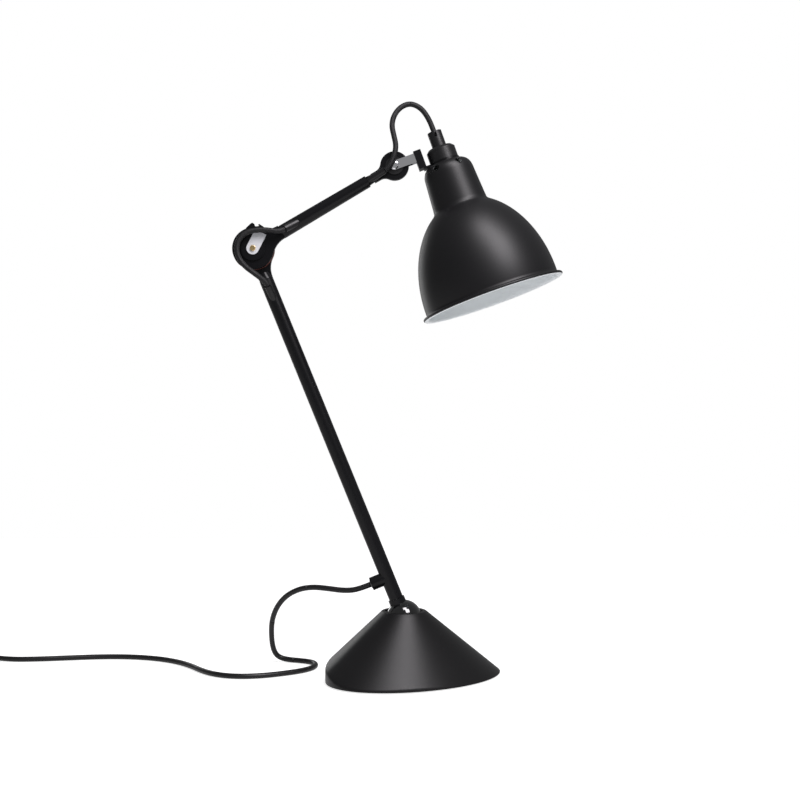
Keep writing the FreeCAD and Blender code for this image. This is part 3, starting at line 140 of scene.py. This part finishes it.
def surface(name, colour, rough, metallic=0.0, mottle=0.08, spread=0.06, grain=900.0, relief=0.2,
            patch=28.0, coat=0.0, transmission=0.0, mirror=0.5):
    """A finish from object coordinates: broad patches in its colour, fine grain in its roughness and relief.

    mottle is the share by which the colour varies, spread the change of roughness, grain and patch the
    fineness of the two patterns, relief the strength of the bump and mirror the specular level."""
    made = bpy.data.materials.new(name)
    made.use_nodes = True
    n, l = made.node_tree.nodes, made.node_tree.links
    shader = n["Principled BSDF"]
    shader.inputs["Metallic"].default_value = metallic
    shader.inputs["Coat Weight"].default_value = coat
    shader.inputs["Coat Roughness"].default_value = 0.08
    shader.inputs["Transmission Weight"].default_value = transmission
    shader.inputs["Specular IOR Level"].default_value = mirror
    where = n.new("ShaderNodeTexCoord")
    broad = n.new("ShaderNodeTexNoise")
    broad.inputs["Scale"].default_value = patch
    broad.inputs["Detail"].default_value = 4.0
    fine = n.new("ShaderNodeTexNoise")
    fine.inputs["Scale"].default_value = grain
    fine.inputs["Detail"].default_value = 2.0
    for noise in (broad, fine):
        l.new(where.outputs["Object"], noise.inputs["Vector"])
    tint = n.new("ShaderNodeMapRange")
    tint.inputs["To Min"].default_value = 1 - mottle
    tint.inputs["To Max"].default_value = 1 + mottle
    l.new(broad.outputs["Fac"], tint.inputs["Value"])
    tinted = n.new("ShaderNodeVectorMath")
    tinted.operation = "SCALE"
    tinted.inputs[0].default_value = colour
    l.new(tint.outputs[0], tinted.inputs["Scale"])
    l.new(tinted.outputs["Vector"], shader.inputs["Base Color"])
    rougher = n.new("ShaderNodeMapRange")
    rougher.inputs["To Min"].default_value = max(0.02, rough - spread)
    rougher.inputs["To Max"].default_value = rough + spread
    l.new(fine.outputs["Fac"], rougher.inputs["Value"])
    l.new(rougher.outputs[0], shader.inputs["Roughness"])
    bump = n.new("ShaderNodeBump")
    bump.inputs["Strength"].default_value = relief
    bump.inputs["Distance"].default_value = 0.0002
    l.new(fine.outputs["Fac"], bump.inputs["Height"])
    l.new(bump.outputs["Normal"], shader.inputs["Normal"])
    return made


half_wide, near_edge, far_edge, under_pad = 1.8, -1.3, 1.2, -0.0004
corners = [(-half_wide, near_edge), (half_wide, near_edge), (half_wide, far_edge), (-half_wide, far_edge)]
floor = mesh_object("floor", [(*corner, under_pad) for corner in corners], [(0, 1, 2, 3)])
floor_paint = surface("floor_white", (0.55, 0.55, 0.55), 0.7, mottle=0.01, spread=0.04, grain=200,
                      relief=0.02, patch=3)
tree = floor_paint.node_tree
shader = tree.nodes["Principled BSDF"]
shader.inputs["Emission Color"].default_value = (1, 1, 1, 1)
glow = tree.nodes.new("ShaderNodeMapRange")
glow.inputs["To Min"].default_value = 0.30
glow.inputs["To Max"].default_value = 0.80
tree.links.new(white_share(tree), glow.inputs["Value"])
tree.links.new(glow.outputs[0], shader.inputs["Emission Strength"])
floor.data.materials.append(floor_paint)


# ------------------------------------------------------------ underside
# A rubber pad for the table, a zinc plated steel cover held by four screws, and over it a raw iron slab
# whose weight keeps the lamp steady.
def wear(finish, *names):
    """Gives solids of the frame their finish."""
    for name in names:
        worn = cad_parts[name].data.materials
        worn.clear()
        worn.append(finish)


steel = surface("zinc_steel", (0.52, 0.52, 0.53), 0.34, metallic=1.0, spread=0.08, grain=1200)
rubber = surface("matte_rubber", (0.03, 0.03, 0.03), 0.8, mottle=0.12, spread=0.08, grain=1500, relief=0.5)
wear(rubber, "rubber_pad")
wear(steel, "bottom_cover", "cover_screws")
raw_iron = surface("raw_iron", (0.09, 0.085, 0.08), 0.62, metallic=0.8, mottle=0.25, spread=0.12,
                   grain=420, relief=0.5)
wear(raw_iron, "ballast_slab")

# ------------------------------------------------------------ base casting
# Cast iron in black enamel: a cone ruled from the round rim at 67 mm to an oval on the table, cut off by the
# upright wall of the foot's own oval. Both ovals are turned 34 degrees. In front the roof runs to the table.
MM = 0.001
rim_radius, rim_height, rim_round = 22.0, 67.0, 0.8
lip_wide, lip_deep, lip_straight, lip_round = 3.0, 9.0, 3.0, 0.6
cone_centre, cone_long, cone_short = np.array((2.3, 6.5)), 105.0, 81.0
foot_centre, foot_long, foot_short, foot_lift = np.array((10.3, 2.0)), 96.0, 66.0, 1.0
foot_turn = math.radians(34.0)
corner_round, foot_round, under_wide, under_deep = 2.2, 0.7, 13.0, 4.0
front_height, front_from, front_over, furthest_share = 1.5, 7.0, 6.0, 0.985
roof_rows, slice_count = 18, 240
long_way = np.array((math.cos(foot_turn), math.sin(foot_turn)))
short_way = np.array((-math.sin(foot_turn), math.cos(foot_turn)))
cast_enamel = surface("cast_black_enamel", (0.0036, 0.0035, 0.0039), 0.42, mottle=0.16, spread=0.07,
                      grain=1100, relief=0.3, mirror=0.26)


def oval(centre, long_half, short_half, angles):
    """An oval in plan, in mm, at angles a round its centre.

    It is the centre + long_half cos(a) along long_way + short_half sin(a) along short_way."""
    return (centre + np.outer(long_half * np.cos(angles), long_way)
            + np.outer(short_half * np.sin(angles), short_way))


def unit(rows):
    """Each row divided by its own length."""
    return rows / np.linalg.norm(rows, axis=-1, keepdims=True)


def bent(a, corner, b, steps):
    """Points of a rounded corner: the quadratic curve (1 - t)^2 a + 2 t (1 - t) corner + t^2 b."""
    return [a * (1 - t) ** 2 + corner * (2 * t * (1 - t)) + b * t ** 2 for t in np.arange(steps + 1) / steps]


def casting_slices(angles):
    """Upright slices of the casting, in mm, from the mouth over the roof to the underside.

    The roof's line from rim to cone oval meets the foot's oval where its share s of the way solves
    |A0 + s A1| = 1, with A the place from the foot's centre in parts of the foot's half axes. Where the edge
    would be lower than front_from + front_over, it is eased down to front_height."""
    def in_foot(plan):
        return np.stack([plan @ long_way / foot_long, plan @ short_way / foot_short], axis=1)

    rim = oval((0, 0), rim_radius, rim_radius, angles)
    reach = oval(cone_centre, cone_long, cone_short, angles) - rim
    start, run = in_foot(rim - foot_centre), in_foot(reach)
    square, half, rest = (run * run).sum(1), (start * run).sum(1), (start * start).sum(1) - 1
    share = np.minimum((-half + np.sqrt(half ** 2 - square * rest)) / square, furthest_share)[:, None]
    height = rim_height * (1 - share)
    upright = np.clip((height - front_from) / front_over, 0, 1)
    height = front_height + (height - front_height) * upright ** 2 * (3 - 2 * upright)
    edge = np.hstack([rim + reach * share, height])
    top = np.hstack([rim, np.full_like(height, rim_height)])
    wall = np.hstack([rim + reach * share, np.full_like(height, foot_lift)])
    inward = np.hstack([-unit(rim), np.zeros_like(height)])
    inner = unit(np.append(foot_centre, foot_lift) - wall)
    up = np.array((0.0, 0.0, 1.0))
    mouth = top + inward * lip_wide
    down = unit(edge - top)
    soft = np.minimum(corner_round, (height - foot_lift) * 0.75)
    rows = [mouth - lip_deep * up, mouth - lip_straight * up]
    rows += bent(mouth - lip_round * up, mouth, mouth - inward * lip_round, 3)
    rows += bent(top + inward * rim_round, top, top + down * rim_round, 4)
    roof_start, roof_end = top + down * rim_round, edge - down * soft
    rows += [roof_start + (roof_end - roof_start) * k / roof_rows for k in range(1, roof_rows)]
    rows += bent(roof_end, edge, edge + unit(wall - edge) * soft, 8)
    wall_top, tall = rows[-1], height - foot_lift > 6
    rows.append(wall_top + (wall - wall_top) * np.where(tall, 0.5, 0.4))
    rows += bent(wall_top + (wall - wall_top) * np.where(tall, 0.9, 0.8), wall, wall + inner * foot_round, 3)
    rows += [wall + inner * under_wide, wall + inner * under_wide + under_deep * up]
    return np.stack(rows, axis=1)


def grid_faces(rows, columns, rows_close=False, columns_close=False):
    """Four-sided faces of a grid of points kept row by row, joined round at its ends where they close."""
    i, j = np.meshgrid(np.arange(rows if rows_close else rows - 1),
                       np.arange(columns if columns_close else columns - 1), indexing="ij")
    i, j = i.ravel(), j.ravel()
    after_i, after_j = (i + 1) % rows, (j + 1) % columns
    return np.stack([i * columns + j, i * columns + after_j,
                     after_i * columns + after_j, after_i * columns + j], axis=1)


slices = casting_slices(np.linspace(0, 2 * math.pi, slice_count, endpoint=False))
faces = grid_faces(slices.shape[0], slices.shape[1], rows_close=True)[:, ::-1]
casting = mesh_object("base_casting_enamelled", slices.reshape(-1, 3) * MM, faces)
casting.data.materials.append(cast_enamel)
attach(casting, "base")
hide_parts("base_casting")

# ------------------------------------------------------------ ball joint
# A gloss black ball between an enamelled ring under the casting's lip and a plastic cup, which a disc spring
# and a threaded plug press up. A steel spigot and a screw tie it to the stem, under a turned collar.
enamel = surface("black_enamel", (0.0034, 0.0034, 0.0042), 0.31, mottle=0.15, spread=0.05, grain=1600,
                 relief=0.12, mirror=0.20)
black_plastic = surface("black_plastic", (0.0050, 0.0050, 0.0056), 0.40, mottle=0.1, grain=1800, relief=0.3,
                        mirror=0.34)
gloss_black = surface("ball_gloss_black", (0.003, 0.003, 0.0034), 0.09, mottle=0.1, spread=0.02, grain=700,
                      relief=0.03, coat=0.6)
wear(gloss_black, "ball")
wear(enamel, "seat_ring", "ball_collar")
wear(black_plastic, "lower_cup")
wear(steel, "disc_spring", "clamp_plug", "ball_spigot", "stem_keeper_screw")

# ------------------------------------------------------------ stem
# A 14 mm steel tube in black enamel with a turned boss at its foot, a grey bush where the cord enters, and
# the cord's own wire inside.
wear(enamel, "stem_tube", "cord_boss")
wear(surface("pale_bush", (0.10, 0.10, 0.105), 0.45, mottle=0.06, grain=1500), "cord_bush")
wear(black_plastic, "stem_wire", "stem_ferrule")

# ------------------------------------------------------------ elbow
# Two enamelled discs on one bolt with a red fibre washer between them. A satin plate and a small brass
# coloured screw cover the bolt in front, and a bent clip keeps the cable on the rear disc's edge.
fibre = surface("red_fibre", (0.11, 0.030, 0.022), 0.7, mottle=0.2, spread=0.08, grain=1400, relief=0.4)
brass = surface("brass", (0.72, 0.53, 0.26), 0.28, metallic=1.0, spread=0.08, relief=0.15)
wear(enamel, "stem_top_fitting", "arm_elbow_fitting", "elbow_bolt", "cable_clip")
wear(fibre, "elbow_washer")
wear(steel, "elbow_spring_washer", "elbow_nut")
wear(surface("satin_plate", (0.80, 0.81, 0.84), 0.32, metallic=0.35, mottle=0.03, spread=0.05, relief=0.04),
     "blank_plate")
wear(brass, "plate_screw")

# ------------------------------------------------------------ upper arm
# A tapered steel tube in black enamel, fixed between the elbow's fitting and the head's. Plastic collars
# close it where the cables go in, and the cable's wire runs inside.
wear(enamel, "upper_tube", "head_fitting")
wear(black_plastic, "arm_ferrule", "cable_sleeve", "arm_wire")

# ------------------------------------------------------------ head joint
# A bent and chromed steel strap turns on a chromed screw between two washers, with a nut behind. A second
# screw in its end carries the enamelled block on which the shade swivels.
chrome = surface("chrome", (0.86, 0.86, 0.88), 0.07, metallic=1.0, mottle=0.02, spread=0.03, grain=500,
                 relief=0.04)
wear(chrome, "chrome_strap", "pivot_screw")
wear(black_plastic, "head_washer_front")
wear(fibre, "head_washer_rear")
wear(steel, "pivot_nut", "swivel_screw")
wear(enamel, "shade_bracket")

# ------------------------------------------------------------ shade
# One spun sheet, black outside and pale inside: half an ellipse 68.6 mm wide and 97.6 mm high, a throat, a
# rounded shoulder and a flat top, with a rolled bead at the mouth and six vents in the shoulder.
bell_radius, bell_height, bell_foot, sheet = 68.6, 97.6, 8.0, 0.8
bell_from, bell_to, bell_rings, spun_sides = 4.2, 95.8, 44, 192
neck_radius, neck_height, top_height, hole_radius = 25.4, 133.0, 145.0, 10.3
bead_radius, bead_place, pale_bead_rows = 1.6, 71.4, 4
vent_count, vent_radius, vent_place, vent_height = 6, 3.15, 24.2, 140.0
shade_place = np.array(((0.94379, 0.02028, -0.32991, 89.004), (-0.00072, 0.99824, 0.0593, -6.45766),
                        (0.33053, -0.05573, 0.94215, 378.26377)))
shade_black = surface("shade_black", (0.0034, 0.0033, 0.0040), 0.44, mottle=0.12, spread=0.04, grain=1400,
                      relief=0.12, mirror=0.30)
shade_pale = surface("shade_inside_pale", (0.86, 0.90, 0.91), 0.5, mottle=0.04)


def shade_side(inset):
    """One face of the sheet from the mouth to the top hole, as radius and height in mm.

    The bell's radius is (a - inset) sqrt(1 - ((h - foot) / (b - inset))^2)."""
    heights = np.linspace(bell_from, bell_to, bell_rings)
    bell = (bell_radius - inset) * np.sqrt(1 - ((heights - bell_foot) / (bell_height - inset)) ** 2)
    throat = np.array(((27.9, 98.2), (27.5, 102.0), (27.0, 109.0), (26.4, 118.0), (25.8, 127.0),
                       (neck_radius, neck_height))) - (inset, 0)
    bulge, level = np.array((24.6 - inset, 143.4)), top_height - inset
    shoulder = bent(throat[-1], bulge, np.array((15.5 - inset, level)), 10)[1:]
    flat = [(12.5, level), (hole_radius, level)]
    return np.vstack([np.column_stack([bell, heights]), throat, shoulder, flat])


def placed(points):
    """Points in the shade's own millimetres, turned and moved to the lamp's metres."""
    return (points @ shade_place[:, :3].T + shade_place[:, 3]) * MM


def tube_faces(rows, sides):
    """Faces of a closed tube: its rings joined, and a flat face at either end."""
    return [*grid_faces(rows, sides, columns_close=True), np.arange(sides)[::-1],
            (rows - 1) * sides + np.arange(sides)]


roll = np.linspace(-math.pi / 2, math.radians(120), 12)
bead = np.column_stack([bead_place + bead_radius * np.cos(roll), bead_radius + bead_radius * np.sin(roll)])
outside = np.vstack([[(67.9, 0.35), (68.9, 0.0)], bead, [(69.5, 3.25)], shade_side(0.0)])
profile = np.vstack([outside, shade_side(sheet)[::-1], [(67.75, 2.2)]])
turn = np.linspace(0, 2 * math.pi, spun_sides, endpoint=False)
spun = np.stack([np.outer(np.cos(turn), profile[:, 0]), np.outer(np.sin(turn), profile[:, 0]),
                 np.tile(profile[:, 1], (len(turn), 1))], axis=-1)
faces = grid_faces(len(turn), len(profile), rows_close=True, columns_close=True)[:, ::-1]
shade = mesh_object("shade_spun", placed(spun.reshape(-1, 3)), faces)
shade.data.materials.append(shade_black)
shade.data.materials.append(shade_pale)
row = np.arange(len(profile))
pale_rows = (row >= len(outside)) | (row < pale_bead_rows)
shade.data.polygons.foreach_set("material_index", np.tile(pale_rows, len(turn)).astype(np.int32))

# The vents are cut by six short pins that stand square to the shoulder.
pin_sides, pin_reach, pin_slope = 28, 5.0, 0.9
around_pin = np.linspace(0, 2 * math.pi, pin_sides, endpoint=False)[:, None]
pin_points, pin_faces = [], []
for vent in range(vent_count):
    a = 2 * math.pi * vent / vent_count
    out = unit(np.array((math.cos(a), math.sin(a), pin_slope)))
    across = np.array((-math.sin(a), math.cos(a), 0.0))
    middle = np.array((vent_place * math.cos(a), vent_place * math.sin(a), vent_height))
    ring = vent_radius * (across * np.cos(around_pin) + np.cross(out, across) * np.sin(around_pin))
    pin_faces += [np.asarray(face) + 2 * pin_sides * vent for face in tube_faces(2, pin_sides)]
    pin_points += [middle - out * pin_reach + ring, middle + out * pin_reach + ring]
cutter = mesh_object("vent_cutter", placed(np.vstack(pin_points)), pin_faces)
holes = shade.modifiers.new("vents", "BOOLEAN")
holes.operation = "DIFFERENCE"
holes.solver = "EXACT"
holes.object = cutter
bpy.context.view_layer.update()
pierced = bpy.data.meshes.new_from_object(shade.evaluated_get(bpy.context.evaluated_depsgraph_get()))
shade.modifiers.clear()
shade.data = pierced
bpy.data.objects.remove(cutter)
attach(shade, "shade")
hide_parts("shade", "shade_upper", "shade_neck")

# ------------------------------------------------------------ lampholder and bulb
# A porcelain holder with its plastic cap, cord grip and ring nut, a brass contact, and a small clear globe
# bulb on a brass cap.
wear(black_plastic, "socket_cap", "cord_grip", "holder_ring_nut")
porcelain = surface("porcelain", (0.80, 0.78, 0.72), 0.22, mottle=0.03, spread=0.04, grain=300, relief=0.06,
                    coat=0.4)
wear(porcelain, "lampholder")
wear(brass, "centre_contact", "bulb_cap")
wear(surface("clear_glass", (0.96, 0.97, 0.97), 0.05, mottle=0.0, spread=0.02, grain=60, relief=0.02,
             transmission=0.95), "bulb_glass")


# ------------------------------------------------------------ cable over the elbow
# A two-core cable in a braided sheath. It comes out of the stem's collar, bends round the front of the elbow
# and goes into the upper arm's collar, with some slack for the joint.
cable_diameter, cable_radius = 0.0054, 0.0027


def woven(name, colour, rough, around, along, depth):
    """A sheath with a fine weave, of height sin(a u + b v) sin(b v - a u).

    u goes once round the tube and v in metres along it; a and b are around and along, times two pi."""
    made = surface(name, colour, rough, mottle=0.12, spread=0.05, grain=1600, mirror=0.32)
    n, l = made.node_tree.nodes, made.node_tree.links
    uv = n.new("ShaderNodeUVMap")
    uv.uv_map = "tube"
    apart = n.new("ShaderNodeSeparateXYZ")
    l.new(uv.outputs[0], apart.inputs[0])
    crossed = n.new("ShaderNodeMath")
    crossed.operation = "MULTIPLY"
    for strand, sign in enumerate((1, -1)):
        turns = n.new("ShaderNodeMath")
        turns.operation = "MULTIPLY"
        turns.inputs[1].default_value = sign * around * 2 * math.pi
        l.new(apart.outputs["X"], turns.inputs[0])
        run = n.new("ShaderNodeMath")
        run.operation = "MULTIPLY_ADD"
        run.inputs[1].default_value = along * 2 * math.pi
        l.new(apart.outputs["Y"], run.inputs[0])
        l.new(turns.outputs[0], run.inputs[2])
        wave = n.new("ShaderNodeMath")
        wave.operation = "SINE"
        l.new(run.outputs[0], wave.inputs[0])
        l.new(wave.outputs[0], crossed.inputs[strand])
    weave = n.new("ShaderNodeBump")
    weave.inputs["Strength"].default_value = 0.5
    weave.inputs["Distance"].default_value = depth
    l.new(crossed.outputs[0], weave.inputs["Height"])
    l.new(n["Bump"].outputs["Normal"], weave.inputs["Normal"])
    l.new(weave.outputs["Normal"], n["Principled BSDF"].inputs["Normal"])
    return made


def spline_line(route):
    """Points in metres of the NURBS spline that has the route, in mm, as its control points."""
    data = bpy.data.curves.new("route", "CURVE")
    data.dimensions = "3D"
    data.resolution_u = 10
    spline = data.splines.new("NURBS")
    spline.points.add(len(route) - 1)
    for control, place in zip(spline.points, route):
        control.co = (*(Vector(place) * MM), 1.0)
    spline.order_u = 3
    spline.use_endpoint_u = True
    curve = bpy.data.objects.new("route", data)
    scene.collection.objects.link(curve)
    bpy.context.view_layer.update()
    mesh = bpy.data.meshes.new_from_object(curve)
    line = [v.co.copy() for v in mesh.vertices]
    bpy.data.objects.remove(curve)
    bpy.data.curves.remove(data)
    bpy.data.meshes.remove(mesh)
    return line


def swept(name, line, radius, finish, sides=20):
    """A round tube: line + across x radius cos + other x radius sin.

    The ring is carried on by the smallest turn. The UV map counts turns round the tube and metres along it."""
    path = np.array(line)
    heading = unit(np.gradient(path, axis=0))
    across = np.zeros_like(path)
    ring = np.array((1.0, 0, 0) if abs(heading[0, 2]) > 0.9 else (0, 0, 1.0))
    for k, now in enumerate(heading):
        ring = unit(ring - now * (ring @ now))
        across[k] = ring
    other = np.cross(heading, across)
    round_it = np.linspace(0, 2 * math.pi, sides, endpoint=False)[None, :, None]
    tube = (path[:, None] + across[:, None] * (radius * np.cos(round_it))
            + other[:, None] * (radius * np.sin(round_it)))
    made = mesh_object(name, tube.reshape(-1, 3), tube_faces(len(path), sides))
    made.data.materials.append(finish)
    for end in made.data.polygons[-2:]:
        end.use_smooth = False
    run = np.append(0, np.cumsum(np.linalg.norm(np.diff(path, axis=0), axis=1)))
    k, s = [g.ravel() for g in np.meshgrid(np.arange(len(path) - 1), np.arange(sides), indexing="ij")]
    corners = np.stack([s, run[k], s + 1, run[k], s + 1, run[k + 1], s, run[k + 1]], axis=1).reshape(-1, 2)
    map_values = np.zeros((len(made.data.loops), 2))
    map_values[:len(corners)] = corners / (sides, 1)
    made.data.uv_layers.new(name="tube").data.foreach_set("uv", map_values.ravel())
    return made


def length_of(line):
    """The length of a line in metres: the sum of the distances from each point to the next."""
    return sum((b - a).length for a, b in zip(line, line[1:]))


braid = woven("black_braid", (0.0045, 0.0045, 0.0052), 0.52, around=8, along=900, depth=0.00012)
elbow_route = [(-135.0, -9.9, 390.7), (-136.3, -11.6, 394.1), (-147.5, -15.8, 402.6),
               (-158.2, -13.0, 410.3), (-164.5, -13.0, 419.5), (-165.8, -13.0, 428.5),
               (-163.8, -13.0, 437.1), (-156.2, -13.0, 443.7), (-147.0, -13.0, 445.9),
               (-135.9, -13.0, 446.1), (-123.9, -12.6, 444.1), (-118.4, -9.8, 447.4)]
line = spline_line(elbow_route)
elbow_cable = swept("elbow_cable_braided", line, cable_radius, braid)
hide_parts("elbow_cable")
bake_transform(elbow_cable)

# ------------------------------------------------------------ cable from the arm to the shade
# The same braided cable leaves the arm's sleeve, rises in a loop above the head joint and goes down into the
# cord grip. It crosses two joints, so it is two pieces that meet at its top.
head_route = [(-18.9, -6.1, 506.2), (-14.8, -7.3, 508.7), (-9.3, -7.8, 521.4), (-7.9, -7.0, 530.8),
              (-10.1, -5.6, 540.8), (-12.4, -3.8, 551.3), (-10.1, -1.8, 561.8), (-3.5, -0.2, 570.4),
              (6.1, 1.0, 574.4), (16.3, 1.8, 570.4), (23.5, 2.4, 561.4), (29.0, 4.3, 549.7),
              (35.6, 3.1, 530.9)]
line = spline_line(head_route)
loop_top = Vector((0.0061, 0.001, 0.5730))
top = min(range(len(line)), key=lambda k: (line[k] - loop_top).length)
for name, run, near, far in (("head_cable_arm_side", line[:top + 1], "upper_arm", "head_strap"),
                             ("head_cable_shade_side", line[top:], "head_strap", "shade")):
    piece = swept(name, run, cable_radius, braid)
    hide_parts("head_cable")
    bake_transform(piece)

# ------------------------------------------------------------ mains cord, rising part
# Smooth round flex from the bush in the stem's boss down to the table. It crosses the three freedoms of the
# ball joint, so it is three pieces of one line.
cord_diameter, cord_radius = 0.0055, 0.00275
sheath = woven("black_sheath", (0.0045, 0.0045, 0.0050), 0.40, around=2, along=60, depth=0.00002)
rise_route = [(-33.3, 0.0, 93.1), (-46.2, 0.0, 87.8), (-60.0, 3.5, 86.2), (-75.5, 8.0, 87.6),
              (-91.5, 14.0, 88.4), (-106.5, 22.0, 85.2), (-120.5, 31.5, 77.0), (-131.0, 42.0, 64.0),
              (-137.0, 52.5, 48.5), (-138.6, 62.0, 32.5), (-138.0, 70.0, 17.0), (-134.5, 74.8, 7.0),
              (-125.8, 75.2, 2.8), (-115.0, 71.0, 2.8)]
line = spline_line(rise_route)
third = length_of(line) / 3
runs, run = [], [line[0]]
for point in line[1:]:
    run.append(point)
    if length_of(run) > third and len(runs) < 2:
        runs.append(run)
        run = [point]
runs.append(run)
for name, run, near, far in zip(("cord_at_boss", "cord_middle", "cord_landing"), runs,
                                ("stem", "ball", "seat"), ("ball", "seat", "base")):
    piece = swept(name, run, cord_radius, sheath)
    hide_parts("cord_rise")
    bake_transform(piece)

# ------------------------------------------------------------ mains cord on the table and coil
# Loose curves to the left out of the picture, then a tied coil of the length that isn't seen: three turns
# beside each other on the table, the rest on top of them, and a short tail to the plug.
floor_route = [(-115.0, 71.0, 2.8), (-102.0, 66.0, 2.8), (-93.0, 56.5, 2.8), (-90.6, 43.5, 2.8),
               (-94.6, 30.0, 2.8), (-104.5, 17.5, 2.8), (-119.0, 7.0, 2.8), (-136.5, -3.0, 2.8),
               (-156.0, -8.5, 2.8), (-175.0, -6.5, 2.8), (-192.0, 3.5, 2.8), (-206.0, 20.0, 2.8),
               (-219.0, 41.5, 2.8), (-236.0, 62.0, 2.8), (-260.0, 79.0, 2.8), (-290.0, 88.5, 2.8),
               (-322.0, 89.0, 2.8), (-354.0, 83.0, 2.8), (-386.0, 76.5, 2.8), (-418.0, 74.5, 2.8)]
coil_x, coil_y, coil_start, coil_turns, turn_points = -489.0, 76.0, math.radians(38), 5.40, 16
lanes = np.array([  # turns made, radius in mm, height in mm
    (0.0, 36.4, 2.8), (0.9, 36.2, 2.8), (1.1, 31.0, 2.8), (1.9, 31.0, 2.8), (2.1, 25.6, 2.8),
    (2.8, 25.6, 2.8), (3.1, 25.7, 8.4), (3.8, 26.0, 8.4), (4.05, 31.2, 8.4), (4.8, 31.4, 8.4),
    (5.05, 36.2, 8.4), (5.3, 36.4, 8.2), (5.45, 37.4, 5.0)])
made_turns = np.arange(int(coil_turns * turn_points) + 1) / turn_points
angles = coil_start + 2 * math.pi * made_turns
reach = np.interp(made_turns, lanes[:, 0], lanes[:, 1]) / math.sqrt(math.cos(math.pi / turn_points))
coil = np.column_stack([coil_x + reach * np.cos(angles), coil_y + reach * np.sin(angles),
                        np.interp(made_turns, lanes[:, 0], lanes[:, 2])])
tail = [(-531.6, 62.0, 3.1), (-532.6, 49.5, 4.9), (-532.0, 37.0, 6.9)]
line = spline_line([*floor_route, *coil.tolist(), *tail])
floor_cord = swept("mains_cord_on_table", line, cord_radius, sheath, sides=14)
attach(floor_cord, "base")
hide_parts("cord_floor", "cord_coil", "cord_tail")

# ------------------------------------------------------------ plug
# A moulded two-pin plug with brass pins. Its sleeve tapers and has twelve grooves, and a plastic tie holds
# the coil.
plug_place = np.array((-532.0, 37.0, 6.9))
wear(black_plastic, "cord_tie")
wear(brass, "plug_pins")


def lofted(name, stations, sides):
    """A body along -Y through superellipses of half width w, half height h and power p, each at its distance.

    Across it is w |cos|^(2/p) with the sign of cos, and up it is h |sin|^(2/p) with the sign of sin."""
    distance, width, height, power = np.array(stations, dtype=float).T[:, :, None]
    a = np.linspace(0, 2 * math.pi, sides, endpoint=False)[None]
    x = width * np.sign(np.cos(a)) * np.abs(np.cos(a)) ** (2 / power)
    z = height * np.sign(np.sin(a)) * np.abs(np.sin(a)) ** (2 / power)
    points = np.stack([x, np.broadcast_to(-distance, x.shape), z], axis=-1).reshape(-1, 3)
    faces = [face[::-1] for face in tube_faces(len(stations), sides)]
    made = mesh_object(name, (points + plug_place) * MM, faces)
    made.data.materials.append(black_plastic)
    return made


grooves, sleeve_long, sleeve_thin, sleeve_thick = 12, 22.0, 2.9, 4.3
swell, groove_deep, groove_from, groove_to = 0.1, 0.35, 1.05, 1.75
stations = []
for k in range(grooves):
    start = sleeve_long * k / grooves
    r = sleeve_thin + (sleeve_thick - sleeve_thin) * k / grooves
    stations += [(start, r, r, 2), (start + 1.0, r + swell, r + swell, 2),
                 (start + groove_from, r - groove_deep, r - groove_deep, 2),
                 (start + groove_to, r - groove_deep, r - groove_deep, 2)]
relief = lofted("plug_relief_grooved", stations + [(sleeve_long, sleeve_thick, sleeve_thick, 2)], sides=32)
plug = lofted("plug_body_moulded", [
    (22.0, 4.6, 4.6, 2.2), (22.3, 5.6, 5.2, 2.3), (24.0, 7.4, 5.9, 2.6), (28.0, 9.9, 6.5, 3.0),
    (33.0, 11.6, 6.8, 3.4), (38.0, 12.2, 6.85, 3.8), (40.0, 11.8, 6.5, 3.8), (45.0, 11.7, 6.4, 3.8),
    (47.0, 12.3, 6.85, 4.0), (54.0, 12.4, 6.88, 4.2), (55.2, 12.1, 6.6, 4.2), (56.0, 11.2, 5.8, 4.0)],
    sides=48)
for piece, node in ((relief, "plug_relief"), (plug, "plug_body")):
    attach(piece, "base")
    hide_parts(node)
